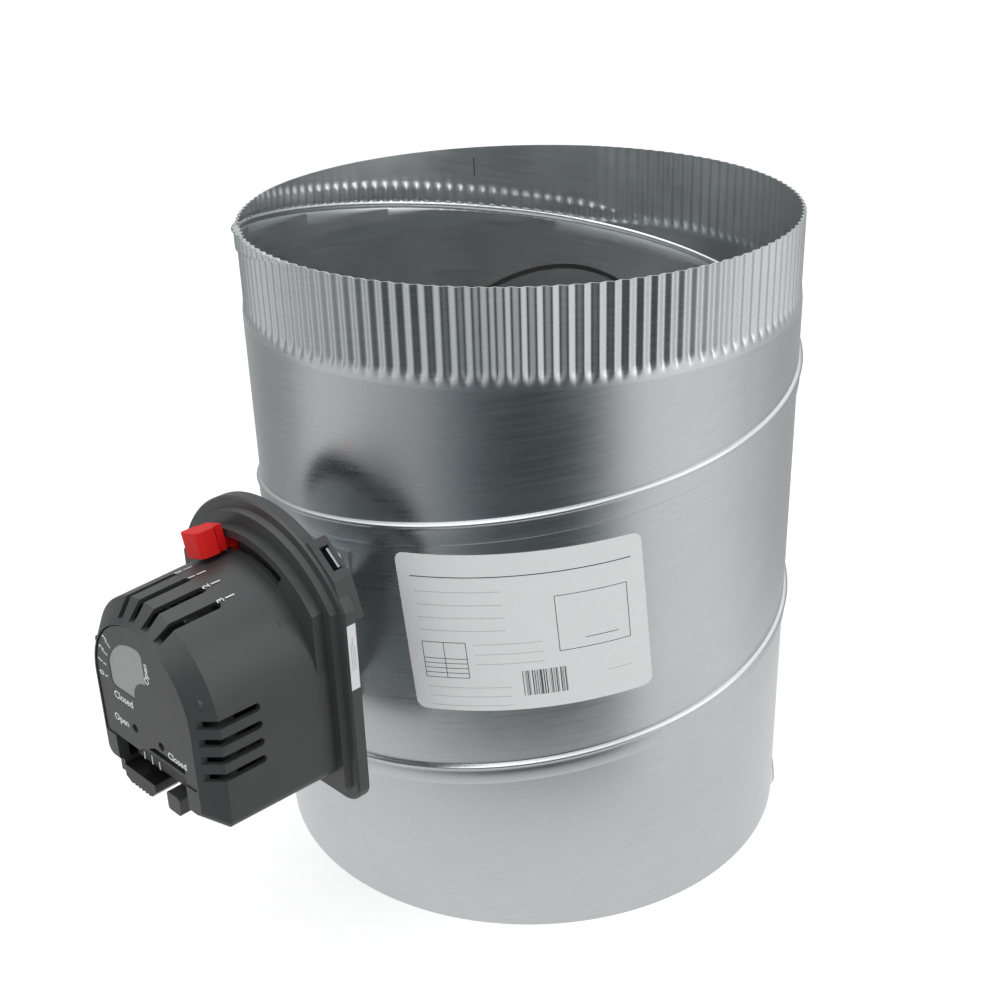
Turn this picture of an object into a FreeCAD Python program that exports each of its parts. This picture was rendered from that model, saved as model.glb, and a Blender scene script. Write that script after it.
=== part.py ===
import FreeCAD, Part
import math
import os

import Sketcher

# Volume control damper: a round duct section with a spiral seam and a crimped end, a disc blade on a
# shaft, and a motor actuator that stands off the duct on a bracket.
#
# The frame has its origin at the centre of the plain lower end of the duct and +Z up the duct's axis.
# The shaft lies along Y, and the actuator is on the -Y side. Most pieces are placed by three distances
# in the shaft's own frame: across (along X), up (from the shaft, along Z) and out (from the duct's axis
# towards the actuator, along -Y).

# Driving dimensions in millimetres and degrees, and counts

SIZES = {
    # Duct
    "duct_length": 304.8,
    "duct_radius": 127.7,
    "duct_sheet": 0.7,
    "crimp_length": 41.0,
    "crimp_taper": 8.0,
    "crimp_drop": 1.3,
    "crimp_depth": 1.8,
    "crimp_count": 132,
    "crimp_crest_share": 0.6,
    "seam_pitch": 118.8,
    "seam_start": -12.0,
    "seam_band": 7.6,
    "seam_rise": 1.0,
    "seam_bead": 2.6,
    "seam_bead_rise": 1.9,
    # Shaft and its bushings
    "shaft_height": 148.0,
    "shaft_radius": 6.35,
    "shaft_far_stub": 13.0,
    "shaft_front": 208.0,
    "running_gap": 0.05,
    "bushing_radius": 9.0,
    "bushing_flange_radius": 13.0,
    "bushing_flange": 3.6,
    "bushing_inside": 2.5,
    "ring_groove_depth": 0.9,
    "ring_thickness": 1.2,
    "ring_radius": 10.0,
    # Blade
    "gasket_radius": 126.0,
    "gasket_inner_radius": 98.0,
    "gasket_thickness": 2.4,
    "plate_radius": 123.8,
    "plate_thickness": 0.8,
    "blade_notch": 10.5,
    "blade_notch_reach": 119.0,
    # Standoff bracket
    "standoff": 25.4,
    "bracket_sheet": 1.2,
    "bracket_half_width": 46.0,
    "bracket_top_radius": 55.0,
    "bracket_foot": 50.0,
    "bracket_corner": 5.0,
    "bracket_leg_height": 25.0,
    "bracket_leg_half_width": 18.0,
    "bracket_leg_lip": 10.0,
    "ear_half_width": 4.6,
    "ear_reach": 62.0,
    "ear_angle": 40.5,
    # Actuator base
    "base_half_width": 54.0,
    "base_top_radius": 61.5,
    "base_top_centre": 4.3,
    "base_foot": 59.5,
    "base_corner": 9.0,
    "base_floor": 3.0,
    "base_gap": 4.3,
    "base_wall": 2.2,
    "base_skirt": 2.9,
    "base_rim_step": 4.5,
    "base_rim_rise": 2.6,
    "base_rim_slope": 22.0,
    "base_edge": 1.0,
    "base_edge_slope": 40.0,
    "base_hole_radius": 7.5,
    "tab_half_angle": 9.0,
    "tab_chamfer_low": 29.0,
    "tab_proud": 1.6,
    "slot_half_width": 5.6,
    "slot_height": 4.6,
    "pilot_radius": 10.0,
    "pillar_across_low": 31.0,
    "pillar_low": 12.0,
    "pillar_across_high": 20.0,
    "pillar_high": 24.0,
    "pillar_radius": 2.5,
    "post_radius": 3.0,
    "post_across": 32.0,
    "post_high": 8.0,
    "post_low": 36.0,
    # Actuator housing
    "housing_half_width": 44.5,
    "housing_foot": 47.0,
    "housing_draft": 2.0,
    "housing_corner": 6.0,
    "housing_depth": 52.2,
    "housing_bevel": 8.0,
    "housing_wall": 2.4,
    "front_half_width": 33.8,
    "front_foot": 39.5,
    "front_corner": 4.0,
    "collar_radius": 54.5,
    "collar_height": 5.4,
    "collar_roof": 2.0,
    "stop_slot_radius": 48.0,
    "stop_slot_half_width": 3.0,
    "stop_slot_left": 24.0,
    "stop_slot_right": 31.0,
    "vent_width": 3.6,
    "vent_pitch": 8.1,
    "vent_top": 6.3,
    "vent_front": 1.5,
    "vent_reach": 35.6,
    "side_vent_length": 25.4,
    "vent_count": 4,
    "top_vent_length": 29.0,
    "top_vent_start": 65.0,
    "top_vent_pitch": 13.5,
    "foot_open_left": 26.0,
    "foot_open_right": 25.0,
    "foot_open_top": 27.3,
    "foot_open_depth": 17.0,
    "boss_radius": 4.6,
    "boss_across": 30.0,
    "boss_high": 26.0,
    "boss_low_across": 38.5,
    "boss_low": 41.0,
    "boss_length": 14.0,
    "board_post_across": 34.5,
    "board_post_high": 12.5,
    "board_post_low": 34.0,
    # Face plate, window and indicator
    "face_half_width": 32.4,
    "face_foot": 27.3,
    "face_corner": 1.5,
    "face_thickness": 2.0,
    "face_recess": 0.5,
    "face_gap": 0.6,
    "face_ledge": 2.4,
    "window_radius": 24.7,
    "window_right": 4.3,
    "window_left": 22.4,
    "window_bottom": 1.2,
    "window_corner": 3.0,
    "window_hub": 9.2,
    "window_hub_across": 3.5,
    "window_hub_drop": 0.3,
    "window_thickness": 1.6,
    "light_across": 9.5,
    "light_drop": 17.0,
    "light_radius": 1.5,
    "light_hole_radius": 2.0,
    "light_depth": 1.3,
    "face_notch_left": 8.0,
    "face_notch_top": 20.4,
    # Range stop lever
    "stop_rest_angle": 16.0,
    "stop_ring_radius": 14.0,
    "stop_thickness": 2.5,
    "stop_arm_half_width": 3.0,
    "stop_stem": 4.0,
    "knob_half_width": 7.2,
    "knob_waist": 5.4,
    "knob_waist_height": 3.4,
    "knob_flare": 1.6,
    "knob_corner": 2.6,
    "knob_inner": 46.0,
    "knob_outer": 57.0,
    "knob_start": 1.2,
    "knob_length": 13.0,
    # Gear train
    "gear_level": 170.0,
    "gear_face": 5.0,
    "gear_level_gap": 1.6,
    "hub_gear_teeth": 60,
    "stage_pinion_teeth": 12,
    "stage_gear_teeth": 44,
    "hub_module": 0.8,
    "second_module": 0.6,
    "first_module": 0.5,
    "second_gear_angle": -60.0,
    "first_gear_angle": 190.0,
    "motor_angle": 180.0,
    "axle_radius": 1.5,
    "hub_radius": 10.0,
    "hub_front": 216.0,
    "gear_plate_sheet": 1.5,
    "motor_radius": 12.0,
    "motor_length": 12.5,
    # Circuit board and terminals
    "board_out": 206.0,
    "board_thickness": 1.6,
    "board_half_width": 36.0,
    "board_foot": 39.5,
    "terminal_left": 20.0,
    "terminal_right": 20.0,
    "terminal_top": 22.0,
    "terminal_foot": 37.0,
    "terminal_depth": 11.5,
    "terminal_pitch": 9.0,
    "terminal_hole": 2.6,
    "latch_left": 24.0,
    "latch_right": 3.0,
    "latch_foot": 51.0,
    "hook_right": 5.0,
    "hook_width": 9.0,
    "hook_foot": 50.5,
    "hook_corner": 1.4,
    # Labels
    "label_sheet": 0.15,
    "label_width": 102.0,
    "label_height": 75.0,
    "label_corner": 4.0,
    "label_centre_angle": -46.6,
    "label_centre_height": 157.0,
    "label_tilt": 5.0,
    "side_label_length": 30.0,
    "side_label_top": 28.0,
}


class Size:
    """A number together with the spreadsheet expression that gives it."""

    def __init__(self, number, text):
        self.number = number
        self.text = text

    def __add__(self, other):
        return Size(self.number + number(other), f"({self.text}+{words(other)})")

    def __sub__(self, other):
        return Size(self.number - number(other), f"({self.text}-{words(other)})")

    def __mul__(self, other):
        return Size(self.number * number(other), f"({self.text}*{words(other)})")

    def __truediv__(self, other):
        return Size(self.number / number(other), f"({self.text}/{words(other)})")

    def __neg__(self):
        return Size(-self.number, f"(0-{self.text})")

    def __radd__(self, other):
        return Size(other + self.number, f"({other}+{self.text})")

    def __rsub__(self, other):
        return Size(other - self.number, f"({other}-{self.text})")

    def __rmul__(self, other):
        return Size(other * self.number, f"({other}*{self.text})")


def number(value):
    return value.number if isinstance(value, Size) else value


def words(value):
    return value.text if isinstance(value, Size) else f"({value})"


def side(radius, distance):
    """How far a circle of this radius reaches at a distance from its centre."""
    square = radius * radius - distance * distance
    return Size(math.sqrt(square.number), f"sqrt({square.text})")


def sine(angle):
    return Size(math.sin(math.radians(number(angle))), f"sin({words(angle)})")


def cosine(angle):
    return Size(math.cos(math.radians(number(angle))), f"cos({words(angle)})")


def polar(radius, angle):
    """The point at a radius, at an angle in degrees that starts at +across and turns left."""
    return radius * cosine(angle), radius * sine(angle)


class Sizes:
    """The driving dimensions by name."""


s = Sizes()
for alias, value in SIZES.items():
    setattr(s, alias, Size(value, f"sizes.{alias}"))

doc = FreeCAD.newDocument("volume_control_damper")
sheet = doc.addObject("Spreadsheet::Sheet", "sizes")
for row, (alias, value) in enumerate(SIZES.items(), start=1):
    sheet.set(f"A{row}", alias.replace("_", " "))
    sheet.set(f"B{row}", str(value))
    sheet.setAlias(f"B{row}", alias)
doc.recompute()

V = FreeCAD.Vector
TO_SHAFT = FreeCAD.Rotation(V(1, 0, 0), 90)
nodes = {}

# Drawing and solid helpers


def bind(thing, prop, value):
    thing.setExpression(prop, words(value))


def piece(label):
    """A body in the shaft's frame: its X is across, its Y is up and its Z is out."""
    body = doc.addObject("PartDesign::Body", label)
    body.Label = label
    body.Placement = FreeCAD.Placement(V(0, 0, s.shaft_height.number), TO_SHAFT)
    bind(body, "Placement.Base.z", s.shaft_height)
    nodes[label] = body
    return body


def drawing(body, name, offset, role="XY_Plane"):
    """A sketch on one of the body's own planes, moved along the plane's normal."""
    sketch = body.newObject("Sketcher::SketchObject", name)
    plane = next(item for item in body.Origin.OriginFeatures if item.Role == role)
    sketch.AttachmentSupport = [(plane, "")]
    sketch.MapMode = "FlatFace"
    bind(sketch, "AttachmentOffset.Base.z", offset)
    return sketch


def facing(body, name, angle, reach):
    """A sketch that looks at the shaft from an angle around it: its X runs around and its Y is out."""
    sketch = drawing(body, name, 0 * reach, "XZ_Plane")
    turn = FreeCAD.Rotation(V(0, 1, 0), number(angle) - 90)
    sketch.AttachmentOffset = FreeCAD.Placement(V(0, 0, 0), turn)
    bind(sketch, "AttachmentOffset.Base.x", reach * cosine(angle))
    bind(sketch, "AttachmentOffset.Base.z", -(reach * sine(angle)))
    return sketch


def limit(sketch, kind, value, *where):
    index = sketch.addConstraint(Sketcher.Constraint(kind, *where, number(value)))
    bind(sketch, f"Constraints[{index}]", value)


def arc_centre(start, end, radius, turn):
    """The centre of the short arc between two points, on the left of the way for a left turn."""
    chord = end.sub(start)
    reach = math.sqrt(max(radius ** 2 - (chord.Length / 2) ** 2, 0.0))
    normal = V(-chord.y, chord.x, 0).normalize() * turn
    return (start + end) * 0.5 + normal * reach


def outline(sketch, corners):
    """A closed outline through corners (x, y), or (x, y, radius, turn) where an arc leads onwards."""
    first = sketch.GeometryCount
    count = len(corners)
    ends = []
    for index, corner in enumerate(corners):
        after = corners[(index + 1) % count]
        start = V(number(corner[0]), number(corner[1]), 0)
        end = V(number(after[0]), number(after[1]), 0)
        if len(corner) == 2:
            sketch.addGeometry(Part.LineSegment(start, end), False)
            ends.append((1, 2))
            continue
        radius, turn = number(corner[2]), corner[3]
        centre = arc_centre(start, end, radius, turn)
        low, high = (start, end) if turn > 0 else (end, start)
        angles = [math.atan2(point.y - centre.y, point.x - centre.x) for point in (low, high)]
        circle = Part.Circle(centre, V(0, 0, 1), radius)
        sketch.addGeometry(Part.ArcOfCircle(circle, angles[0], angles[1]), False)
        ends.append((1, 2) if turn > 0 else (2, 1))
    for index, corner in enumerate(corners):
        before = (index - 1) % count
        meet = (first + before, ends[before][1], first + index, ends[index][0])
        sketch.addConstraint(Sketcher.Constraint("Coincident", *meet))
        if len(corner) > 2:
            limit(sketch, "Radius", corner[2], first + index)
    for index, corner in enumerate(corners):
        limit(sketch, "DistanceX", corner[0], -1, 1, first + index, ends[index][0])
        limit(sketch, "DistanceY", corner[1], -1, 1, first + index, ends[index][0])


def circle(sketch, x, y, radius):
    index = sketch.addGeometry(Part.Circle(V(number(x), number(y), 0), V(0, 0, 1), number(radius)), False)
    limit(sketch, "Radius", radius, index)
    limit(sketch, "DistanceX", x, -1, 1, index, 3)
    limit(sketch, "DistanceY", y, -1, 1, index, 3)


def box(left, low, right, high):
    return [(left, low), (right, low), (right, high), (left, high)]


def soft_box(left, low, right, high, corner):
    """A rectangle with round corners."""
    return [(left + corner, low), (right - corner, low, corner, 1), (right, low + corner),
            (right, high - corner, corner, 1), (right - corner, high), (left + corner, high, corner, 1),
            (left, high - corner), (left, low + corner, corner, 1)]


def slot(left, right, low, high):
    """A straight slot with a round lower end."""
    middle, radius = (left + right) / 2, (right - left) / 2
    return [(right, low + radius), (right, high), (left, high), (left, low + radius, radius, 1),
            (middle, low, radius, 1)]


def arch(half_width, foot, radius, centre, corner):
    """A shape with a flat foot, upright sides and a round top about a centre on the middle line."""
    shoulder = centre + side(radius, half_width) if number(radius) > number(half_width) else centre
    return [(-half_width + corner, -foot), (half_width - corner, -foot, corner, 1),
            (half_width, -foot + corner), (half_width, shoulder, radius, 1),
            (0 * radius, centre + radius, radius, 1), (-half_width, shoulder),
            (-half_width, -foot + corner, corner, 1)]


def pad(body, sketch, length, draft=None):
    """Adds the outline as a solid that starts at the sketch and goes along its normal."""
    solid = body.newObject("PartDesign::Pad", sketch.Name + "_pad")
    solid.Profile = sketch
    bind(solid, "Length", length)
    if draft is not None:
        bind(solid, "TaperAngle", draft)
    sketch.Visibility = False
    doc.recompute()
    return solid


def loft(body, kind, low, high):
    """Joins two outlines with flat and conical faces."""
    solid = body.newObject(f"PartDesign::{kind}Loft", high.Name + "_loft")
    solid.Profile = low
    solid.Sections = [high]
    solid.Ruled = True
    low.Visibility = high.Visibility = False
    doc.recompute()
    return solid


def pocket(body, sketch, length, draft=None):
    """Takes the outline away, from the sketch along its normal."""
    hole = body.newObject("PartDesign::Pocket", sketch.Name + "_pocket")
    hole.Profile = sketch
    hole.Reversed = True
    bind(hole, "Length", length)
    if draft is not None:
        bind(hole, "TaperAngle", draft)
    sketch.Visibility = False
    doc.recompute()
    return hole


def rod(name, radius, start, end, across=0.0, up=0.0):
    """A cylinder along the shaft's direction, from one distance out to another."""
    solid = doc.addObject("Part::Cylinder", name)
    solid.Placement = FreeCAD.Placement(V(0, 0, 0), TO_SHAFT)
    bind(solid, "Radius", radius)
    bind(solid, "Height", Size(number(end) - number(start), f"({words(end)}-{words(start)})"))
    bind(solid, "Placement.Base.x", across)
    bind(solid, "Placement.Base.y", 0 - start if isinstance(start, Size) else -start)
    bind(solid, "Placement.Base.z", s.shaft_height + up)
    return solid


def slab(name, left, right, low, high, back, front):
    """A box by its limits across, up and out."""
    solid = doc.addObject("Part::Box", name)
    solid.Placement = FreeCAD.Placement(V(0, 0, 0), TO_SHAFT)
    bind(solid, "Length", Size(number(right) - number(left), f"({words(right)}-{words(left)})"))
    bind(solid, "Width", Size(number(high) - number(low), f"({words(high)}-{words(low)})"))
    bind(solid, "Height", Size(number(front) - number(back), f"({words(front)}-{words(back)})"))
    bind(solid, "Placement.Base.x", left)
    bind(solid, "Placement.Base.y", 0 - back if isinstance(back, Size) else -back)
    bind(solid, "Placement.Base.z", s.shaft_height + low)
    return solid


def joined(name, solids):
    whole = doc.addObject("Part::MultiFuse", name)
    whole.Label = name
    whole.Shapes = solids
    return whole


def without(name, base, tool):
    rest = doc.addObject("Part::Cut", name)
    rest.Label = name
    rest.Base = base
    rest.Tool = tool
    return rest


def node(label, thing):
    thing.Label = label
    nodes[label] = thing
    return thing


def feature(label, shape):
    """A node whose shape is worked out point by point."""
    thing = doc.addObject("Part::Feature", label)
    thing.Shape = shape
    return node(label, thing)


# Duct: a tube with a helical lock seam and a crimped end


def ring_point(radius, angle, height):
    return V(radius * math.cos(angle), radius * math.sin(angle), height)


def crimp_wire(crest, depth, height):
    """A closed wavy line: a round crest and a V-shaped groove for each crimp."""
    count = int(s.crimp_count.number)
    step = 2 * math.pi / count
    half = step * s.crimp_crest_share.number / 2
    edges = []
    for index in range(count):
        middle = index * step
        start = ring_point(crest, middle - half, height)
        top = ring_point(crest, middle, height)
        end = ring_point(crest, middle + half, height)
        groove = ring_point(crest - depth, middle + step / 2, height)
        after = ring_point(crest, middle + step - half, height)
        edges.append(Part.Arc(start, top, end).toShape())
        edges.append(Part.makeLine(end, groove))
        edges.append(Part.makeLine(groove, after))
    return Part.Wire(edges)


def seam_solid(low, high):
    """The folded seam: a flat band with a round bead at its upper edge, along a helix between two heights."""
    root = s.duct_radius.number - s.duct_sheet.number / 2
    band = s.duct_radius.number + s.seam_rise.number
    bead = s.duct_radius.number + s.seam_bead_rise.number
    half = s.seam_bead.number / 2
    foot = -half - s.seam_band.number
    points = [(root, foot), (band, foot + 0.2), (band, -half), (bead, -half + 0.6), (bead, half - 0.7)]
    points += [(band - 0.2, half), (root, half)]
    profile = Part.makePolygon([V(r, 0, z) for r, z in points + points[:1]])
    pitch = s.seam_pitch.number
    helix = Part.makeHelix(pitch, high - low + pitch + 30, s.duct_radius.number)
    band_solid = Part.Wire(helix.Edges).makePipeShell([profile], True, True)
    start = s.seam_start.number
    while start - 10 > low - pitch:
        start -= pitch
    band_solid.translate(V(0, 0, start + pitch if start + pitch < low - 8 else start))
    keep = Part.makeCylinder(bead + 1, high - low, V(0, 0, low))
    keep = keep.cut(Part.makeCylinder(root - 1, high - low, V(0, 0, low)))
    return band_solid.common(keep)


def duct_shape():
    outer = s.duct_radius.number
    sheet = s.duct_sheet.number
    straight = s.duct_length.number - s.crimp_length.number
    crest = outer - s.crimp_drop.number
    shoulder = straight + s.crimp_taper.number
    groove = crest - s.crimp_depth.number - sheet
    tube = Part.makeCylinder(outer, straight).cut(Part.makeCylinder(outer - sheet, straight))
    profile = [V(outer - sheet, 0, straight), V(outer, 0, straight)]
    profile += [V(crest, 0, shoulder), V(groove, 0, shoulder)]
    taper = Part.Face(Part.makePolygon(profile + profile[:1])).revolve(V(0, 0, 0), V(0, 0, 1), 360)
    depth = s.crimp_depth.number
    rings = [crimp_wire(crest, depth, shoulder), crimp_wire(crest - sheet, depth, shoulder)]
    band = Part.makeFace(rings, "Part::FaceMakerBullseye")
    band = band.extrude(V(0, 0, s.duct_length.number - shoulder))
    whole = tube.fuse([taper, seam_solid(0.0, straight)])
    level = s.shaft_height.number
    reach = 2 * outer
    hole = Part.makeCylinder(s.bushing_radius.number, 2 * reach, V(0, reach, level), V(0, -1, 0))
    return whole.cut(hole).fuse(band)


duct = feature("spiral_duct", duct_shape())

# Shaft, its retaining ring and the bushings in the duct's wall

duct_skin = doc.addObject("Part::Cylinder", "duct_skin")
bind(duct_skin, "Radius", s.duct_radius)
bind(duct_skin, "Height", s.duct_length)
bushing_front = s.duct_radius + s.bushing_flange
bore = s.shaft_radius + s.running_gap


def bushing(label, sign):
    """A sleeve through the wall, with a flange that is hollowed to sit on the round duct."""
    inner = s.duct_radius - s.duct_sheet - s.bushing_inside
    saddle_back = s.duct_radius - s.bushing_flange
    spans = [(inner, bushing_front), (saddle_back, bushing_front), (inner - 1, bushing_front + 1)]
    if sign < 0:
        spans = [(-high, -low) for low, high in spans]
    sleeve = rod(label + "_sleeve", s.bushing_radius - s.running_gap, *spans[0])
    flange = rod(label + "_flange", s.bushing_flange_radius, *spans[1])
    hole = rod(label + "_bore", bore, *spans[2])
    saddle = without(label + "_saddle", flange, duct if sign < 0 else duct_skin)
    if sign < 0:
        saddle = without(label + "_saddle_skin", saddle, duct_skin_far)
    body = joined(label + "_body", [saddle, sleeve])
    return node(label, without(label, body, hole))


duct_skin_far = doc.addObject("Part::Cylinder", "duct_skin_far")
bind(duct_skin_far, "Radius", s.duct_radius)
bind(duct_skin_far, "Height", s.duct_length)
bushing("near_bushing", 1)
bushing("far_bushing", -1)

far_end = s.duct_radius + s.bushing_flange + s.shaft_far_stub
groove_back = bushing_front + s.ring_thickness + s.running_gap * 6
groove_front = bushing_front + s.running_gap * 5
shaft_rod = rod("shaft_rod", s.shaft_radius, -far_end, s.shaft_front)
ring_outer = rod("ring_groove_outer", s.shaft_radius * 2, -groove_back, -groove_front)
ring_core = rod("ring_groove_core", s.shaft_radius - s.ring_groove_depth, -groove_back, -groove_front)
ring_groove = without("ring_groove", ring_outer, ring_core)


def cross_rod(name, radius, left, right, out, up=0.0):
    """A cylinder along X, through the blade."""
    solid = doc.addObject("Part::Cylinder", name)
    solid.Placement = FreeCAD.Placement(V(0, 0, 0), FreeCAD.Rotation(V(0, 1, 0), 90))
    bind(solid, "Radius", radius)
    bind(solid, "Height", Size(number(right) - number(left), f"({words(right)}-{words(left)})"))
    bind(solid, "Placement.Base.x", left)
    bind(solid, "Placement.Base.y", 0 - out if isinstance(out, Size) else -out)
    bind(solid, "Placement.Base.z", s.shaft_height + up)
    return solid


node("damper_shaft", without("damper_shaft", shaft_rod, ring_groove))

ring_back = bushing_front + s.running_gap * 6 + s.ring_thickness - s.running_gap
ring_disc = rod("ring_disc", s.ring_radius, -ring_back, -groove_front - s.running_gap)
ring_hole = rod("ring_hole", s.shaft_radius - s.ring_groove_depth, -ring_back - 1, -groove_front + 1)
ring_mouth = slab("ring_mouth", -2.5, 2.5, -2 * s.ring_radius, 0.0, -ring_back - 1, -groove_front + 1)
ring_cuts = joined("ring_cuts", [ring_hole, ring_mouth])
node("shaft_retaining_ring", without("shaft_retaining_ring", ring_disc, ring_cuts))

# Blade: two pressed plates around a gasket, closed over the shaft

gasket_half = s.gasket_thickness / 2
channel_outer = s.shaft_radius + s.running_gap + s.plate_thickness
def blade_disc(label, radius, left, right, sign=0):
    """A disc across X, with a half-round channel over the shaft on the side that sign gives."""
    disc = cross_rod(label + "_disc", radius, left, right, 0.0)
    shapes = [disc]
    if sign:
        reach = s.blade_notch_reach - 1
        channel = rod(label + "_channel", channel_outer, -reach, reach)
        edges = (left, 4 * channel_outer) if sign > 0 else (-4 * channel_outer, right)
        keep = slab(label + "_keep", *edges, -2 * channel_outer, 2 * channel_outer, -radius, radius)
        cut = doc.addObject("Part::Common", label + "_half_channel")
        cut.Base = channel
        cut.Tool = keep
        shapes.append(cut)
    return joined(label + "_blank", shapes) if sign else disc


def blade_cuts(label):
    """What every layer of the blade leaves free: the shaft and its bushings."""
    cuts = [rod(label + "_shaft_room", s.shaft_radius + s.running_gap, -s.gasket_radius, s.gasket_radius)]
    for name, low in (("near", s.blade_notch_reach), ("far", -2 * s.gasket_radius)):
        high = low + 2 * s.gasket_radius if name == "near" else -s.blade_notch_reach
        notch = slab(f"{label}_{name}_notch", -40.0, 40.0, -s.blade_notch, s.blade_notch, low, high)
        cuts.append(notch)
    return joined(label + "_cuts", cuts)


plate_outer = gasket_half + s.plate_thickness
for label, sign in (("blade_front_plate", 1), ("blade_rear_plate", -1)):
    left, right = (gasket_half, plate_outer) if sign > 0 else (-plate_outer, -gasket_half)
    blank = blade_disc(label, s.plate_radius, left, right, sign)
    node(label, without(label, blank, blade_cuts(label)))

gasket_disc = blade_disc("gasket", s.gasket_radius, -gasket_half, gasket_half)
gasket_room = cross_rod("gasket_room", s.gasket_inner_radius, -10.0, 10.0, 0.0)
gasket_cuts = joined("gasket_all_cuts", [gasket_room, blade_cuts("gasket")])
node("blade_gasket", without("blade_gasket", gasket_disc, gasket_cuts))

# Standoff bracket: a web in front of the duct, two legs with curved feet, and an ear for the base

web_front = s.duct_radius + s.standoff
web_back = web_front - s.bracket_sheet
bracket = piece("mounting_bracket")
sketch = drawing(bracket, "web_outline", web_back)
zero = 0 * s.bracket_sheet
outline(sketch, arch(s.bracket_half_width, s.bracket_foot, s.bracket_top_radius, zero, s.bracket_corner))
pad(bracket, sketch, s.bracket_sheet)
tab_angle = 90 - s.ear_angle


def ray_block(low, high, half_width, angle, centre):
    """The corners of a rectangle along a ray from a centre on the middle line."""
    corners = []
    for along, aside in ((low, -1), (high, -1), (high, 1), (low, 1)):
        x = along * cosine(angle) - aside * half_width * sine(angle)
        corners.append((x, centre + along * sine(angle) + aside * half_width * cosine(angle)))
    return corners


sketch = drawing(bracket, "ear", web_back)
ear_start = s.bracket_top_radius - 2 * s.bracket_corner
outline(sketch, ray_block(ear_start, s.ear_reach, s.ear_half_width, tab_angle, s.base_top_centre))
pad(bracket, sketch, s.bracket_sheet)
half = s.bracket_leg_half_width
foot_low = side(s.duct_radius, half)
foot_high = side(s.duct_radius + s.bracket_sheet, half)
leg_corners = [(-half, foot_low, s.duct_radius, -1), (half, foot_low), (half, web_back), (-half, web_back)]
foot_corners = [(-half, foot_low, s.duct_radius, -1), (half, foot_low),
                (half, foot_high, s.duct_radius + s.bracket_sheet, 1), (-half, foot_high)]
lip = s.bracket_leg_lip + s.bracket_sheet
upper_leg = -s.bracket_leg_height - s.bracket_sheet
upper_foot = -s.bracket_leg_height - lip
legs = [("upper", upper_leg, upper_foot), ("lower", s.bracket_leg_height, s.bracket_leg_height)]
for name, leg_offset, foot_offset in legs:
    sketch = drawing(bracket, name + "_leg", leg_offset, "XZ_Plane")
    outline(sketch, leg_corners)
    pad(bracket, sketch, s.bracket_sheet)
    sketch = drawing(bracket, name + "_foot", foot_offset, "XZ_Plane")
    outline(sketch, foot_corners)
    pad(bracket, sketch, lip)
sketch = drawing(bracket, "web_hole", web_back)
circle(sketch, zero, zero, s.base_hole_radius + 0.5)
pocket(bracket, sketch, s.bracket_sheet)
# Actuator base: a floor with a skirt, a raised rim, a tab that catches the ear, and posts

base_back = web_front + s.base_gap
base_front = base_back + s.base_floor
skirt_back = base_back - s.base_skirt
rim_front = base_front + s.base_rim_rise


def inset_arch(half_width, foot, radius, centre, corner, inset):
    return arch(half_width - inset, foot - inset, radius - inset, centre, corner - inset)


base_shape = (s.base_half_width, s.base_foot, s.base_top_radius, s.base_top_centre, s.base_corner)
base = piece("actuator_base")
sketch = drawing(base, "base_outline", skirt_back)
outline(sketch, arch(*base_shape))
pad(base, sketch, base_front - s.base_edge - skirt_back)
sketch = drawing(base, "base_edge", base_front - s.base_edge)
outline(sketch, arch(*base_shape))
pad(base, sketch, s.base_edge, -s.base_edge_slope)
sketch = drawing(base, "base_hollow", skirt_back)
outline(sketch, inset_arch(*base_shape, s.base_wall))
pocket(base, sketch, s.base_skirt)
sketch = drawing(base, "raised_rim", base_front)
outline(sketch, inset_arch(*base_shape, s.base_rim_step))
pad(base, sketch, s.base_rim_rise, -s.base_rim_slope)


tab_half = s.base_top_radius * sine(s.tab_half_angle)
tab_back = web_back - s.tab_proud
sketch = drawing(base, "tab", tab_back)
tab_low, tab_high = s.base_top_radius - 2 * s.base_wall, s.base_top_radius + s.tab_proud
tab_corners = ray_block(tab_low, tab_high, tab_half, tab_angle, s.base_top_centre)
tab_foot = [(s.base_half_width - 2 * s.base_wall, s.tab_chamfer_low), (s.base_half_width, s.tab_chamfer_low)]
outline(sketch, tab_foot + tab_corners[1:])
pad(base, sketch, base_front - s.base_edge - tab_back)
sketch = drawing(base, "tab_slot", web_back - s.running_gap)
slot_low, slot_high = tab_low - 2 * s.base_wall, tab_high + s.base_wall
outline(sketch, ray_block(slot_low, slot_high, s.slot_half_width, tab_angle, s.base_top_centre))
pocket(base, sketch, s.slot_height)
sketch = drawing(base, "posts", web_front)
circle(sketch, zero, zero, s.pilot_radius + 2)
for across in (-s.post_across, s.post_across):
    for up in (s.post_high, -s.post_low):
        circle(sketch, across, up, s.post_radius)
pad(base, sketch, s.base_gap + 1)
sketch = drawing(base, "pilot", base_front)
circle(sketch, zero, zero, s.pilot_radius - s.running_gap)
pad(base, sketch, s.base_rim_rise + s.stop_thickness + 0.6)
sketch = drawing(base, "pillars", base_front)
plate_back = s.gear_level + 20
pillar_places = [(s.pillar_across_low, -s.pillar_low), (-s.pillar_across_low, -s.pillar_low),
                 (s.pillar_across_high, s.pillar_high), (-s.pillar_across_high, s.pillar_high)]
for across, up in pillar_places:
    circle(sketch, across, up, s.pillar_radius)
pad(base, sketch, plate_back - base_front)
sketch = drawing(base, "stubs", plate_back - 1)
for across, up in pillar_places:
    circle(sketch, across, up, s.axle_radius)
pad(base, sketch, s.gear_plate_sheet + 2)
sketch = drawing(base, "shaft_room", web_front - 1)
circle(sketch, zero, zero, s.base_hole_radius)
pocket(base, sketch, s.housing_depth)
# Actuator housing

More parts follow.
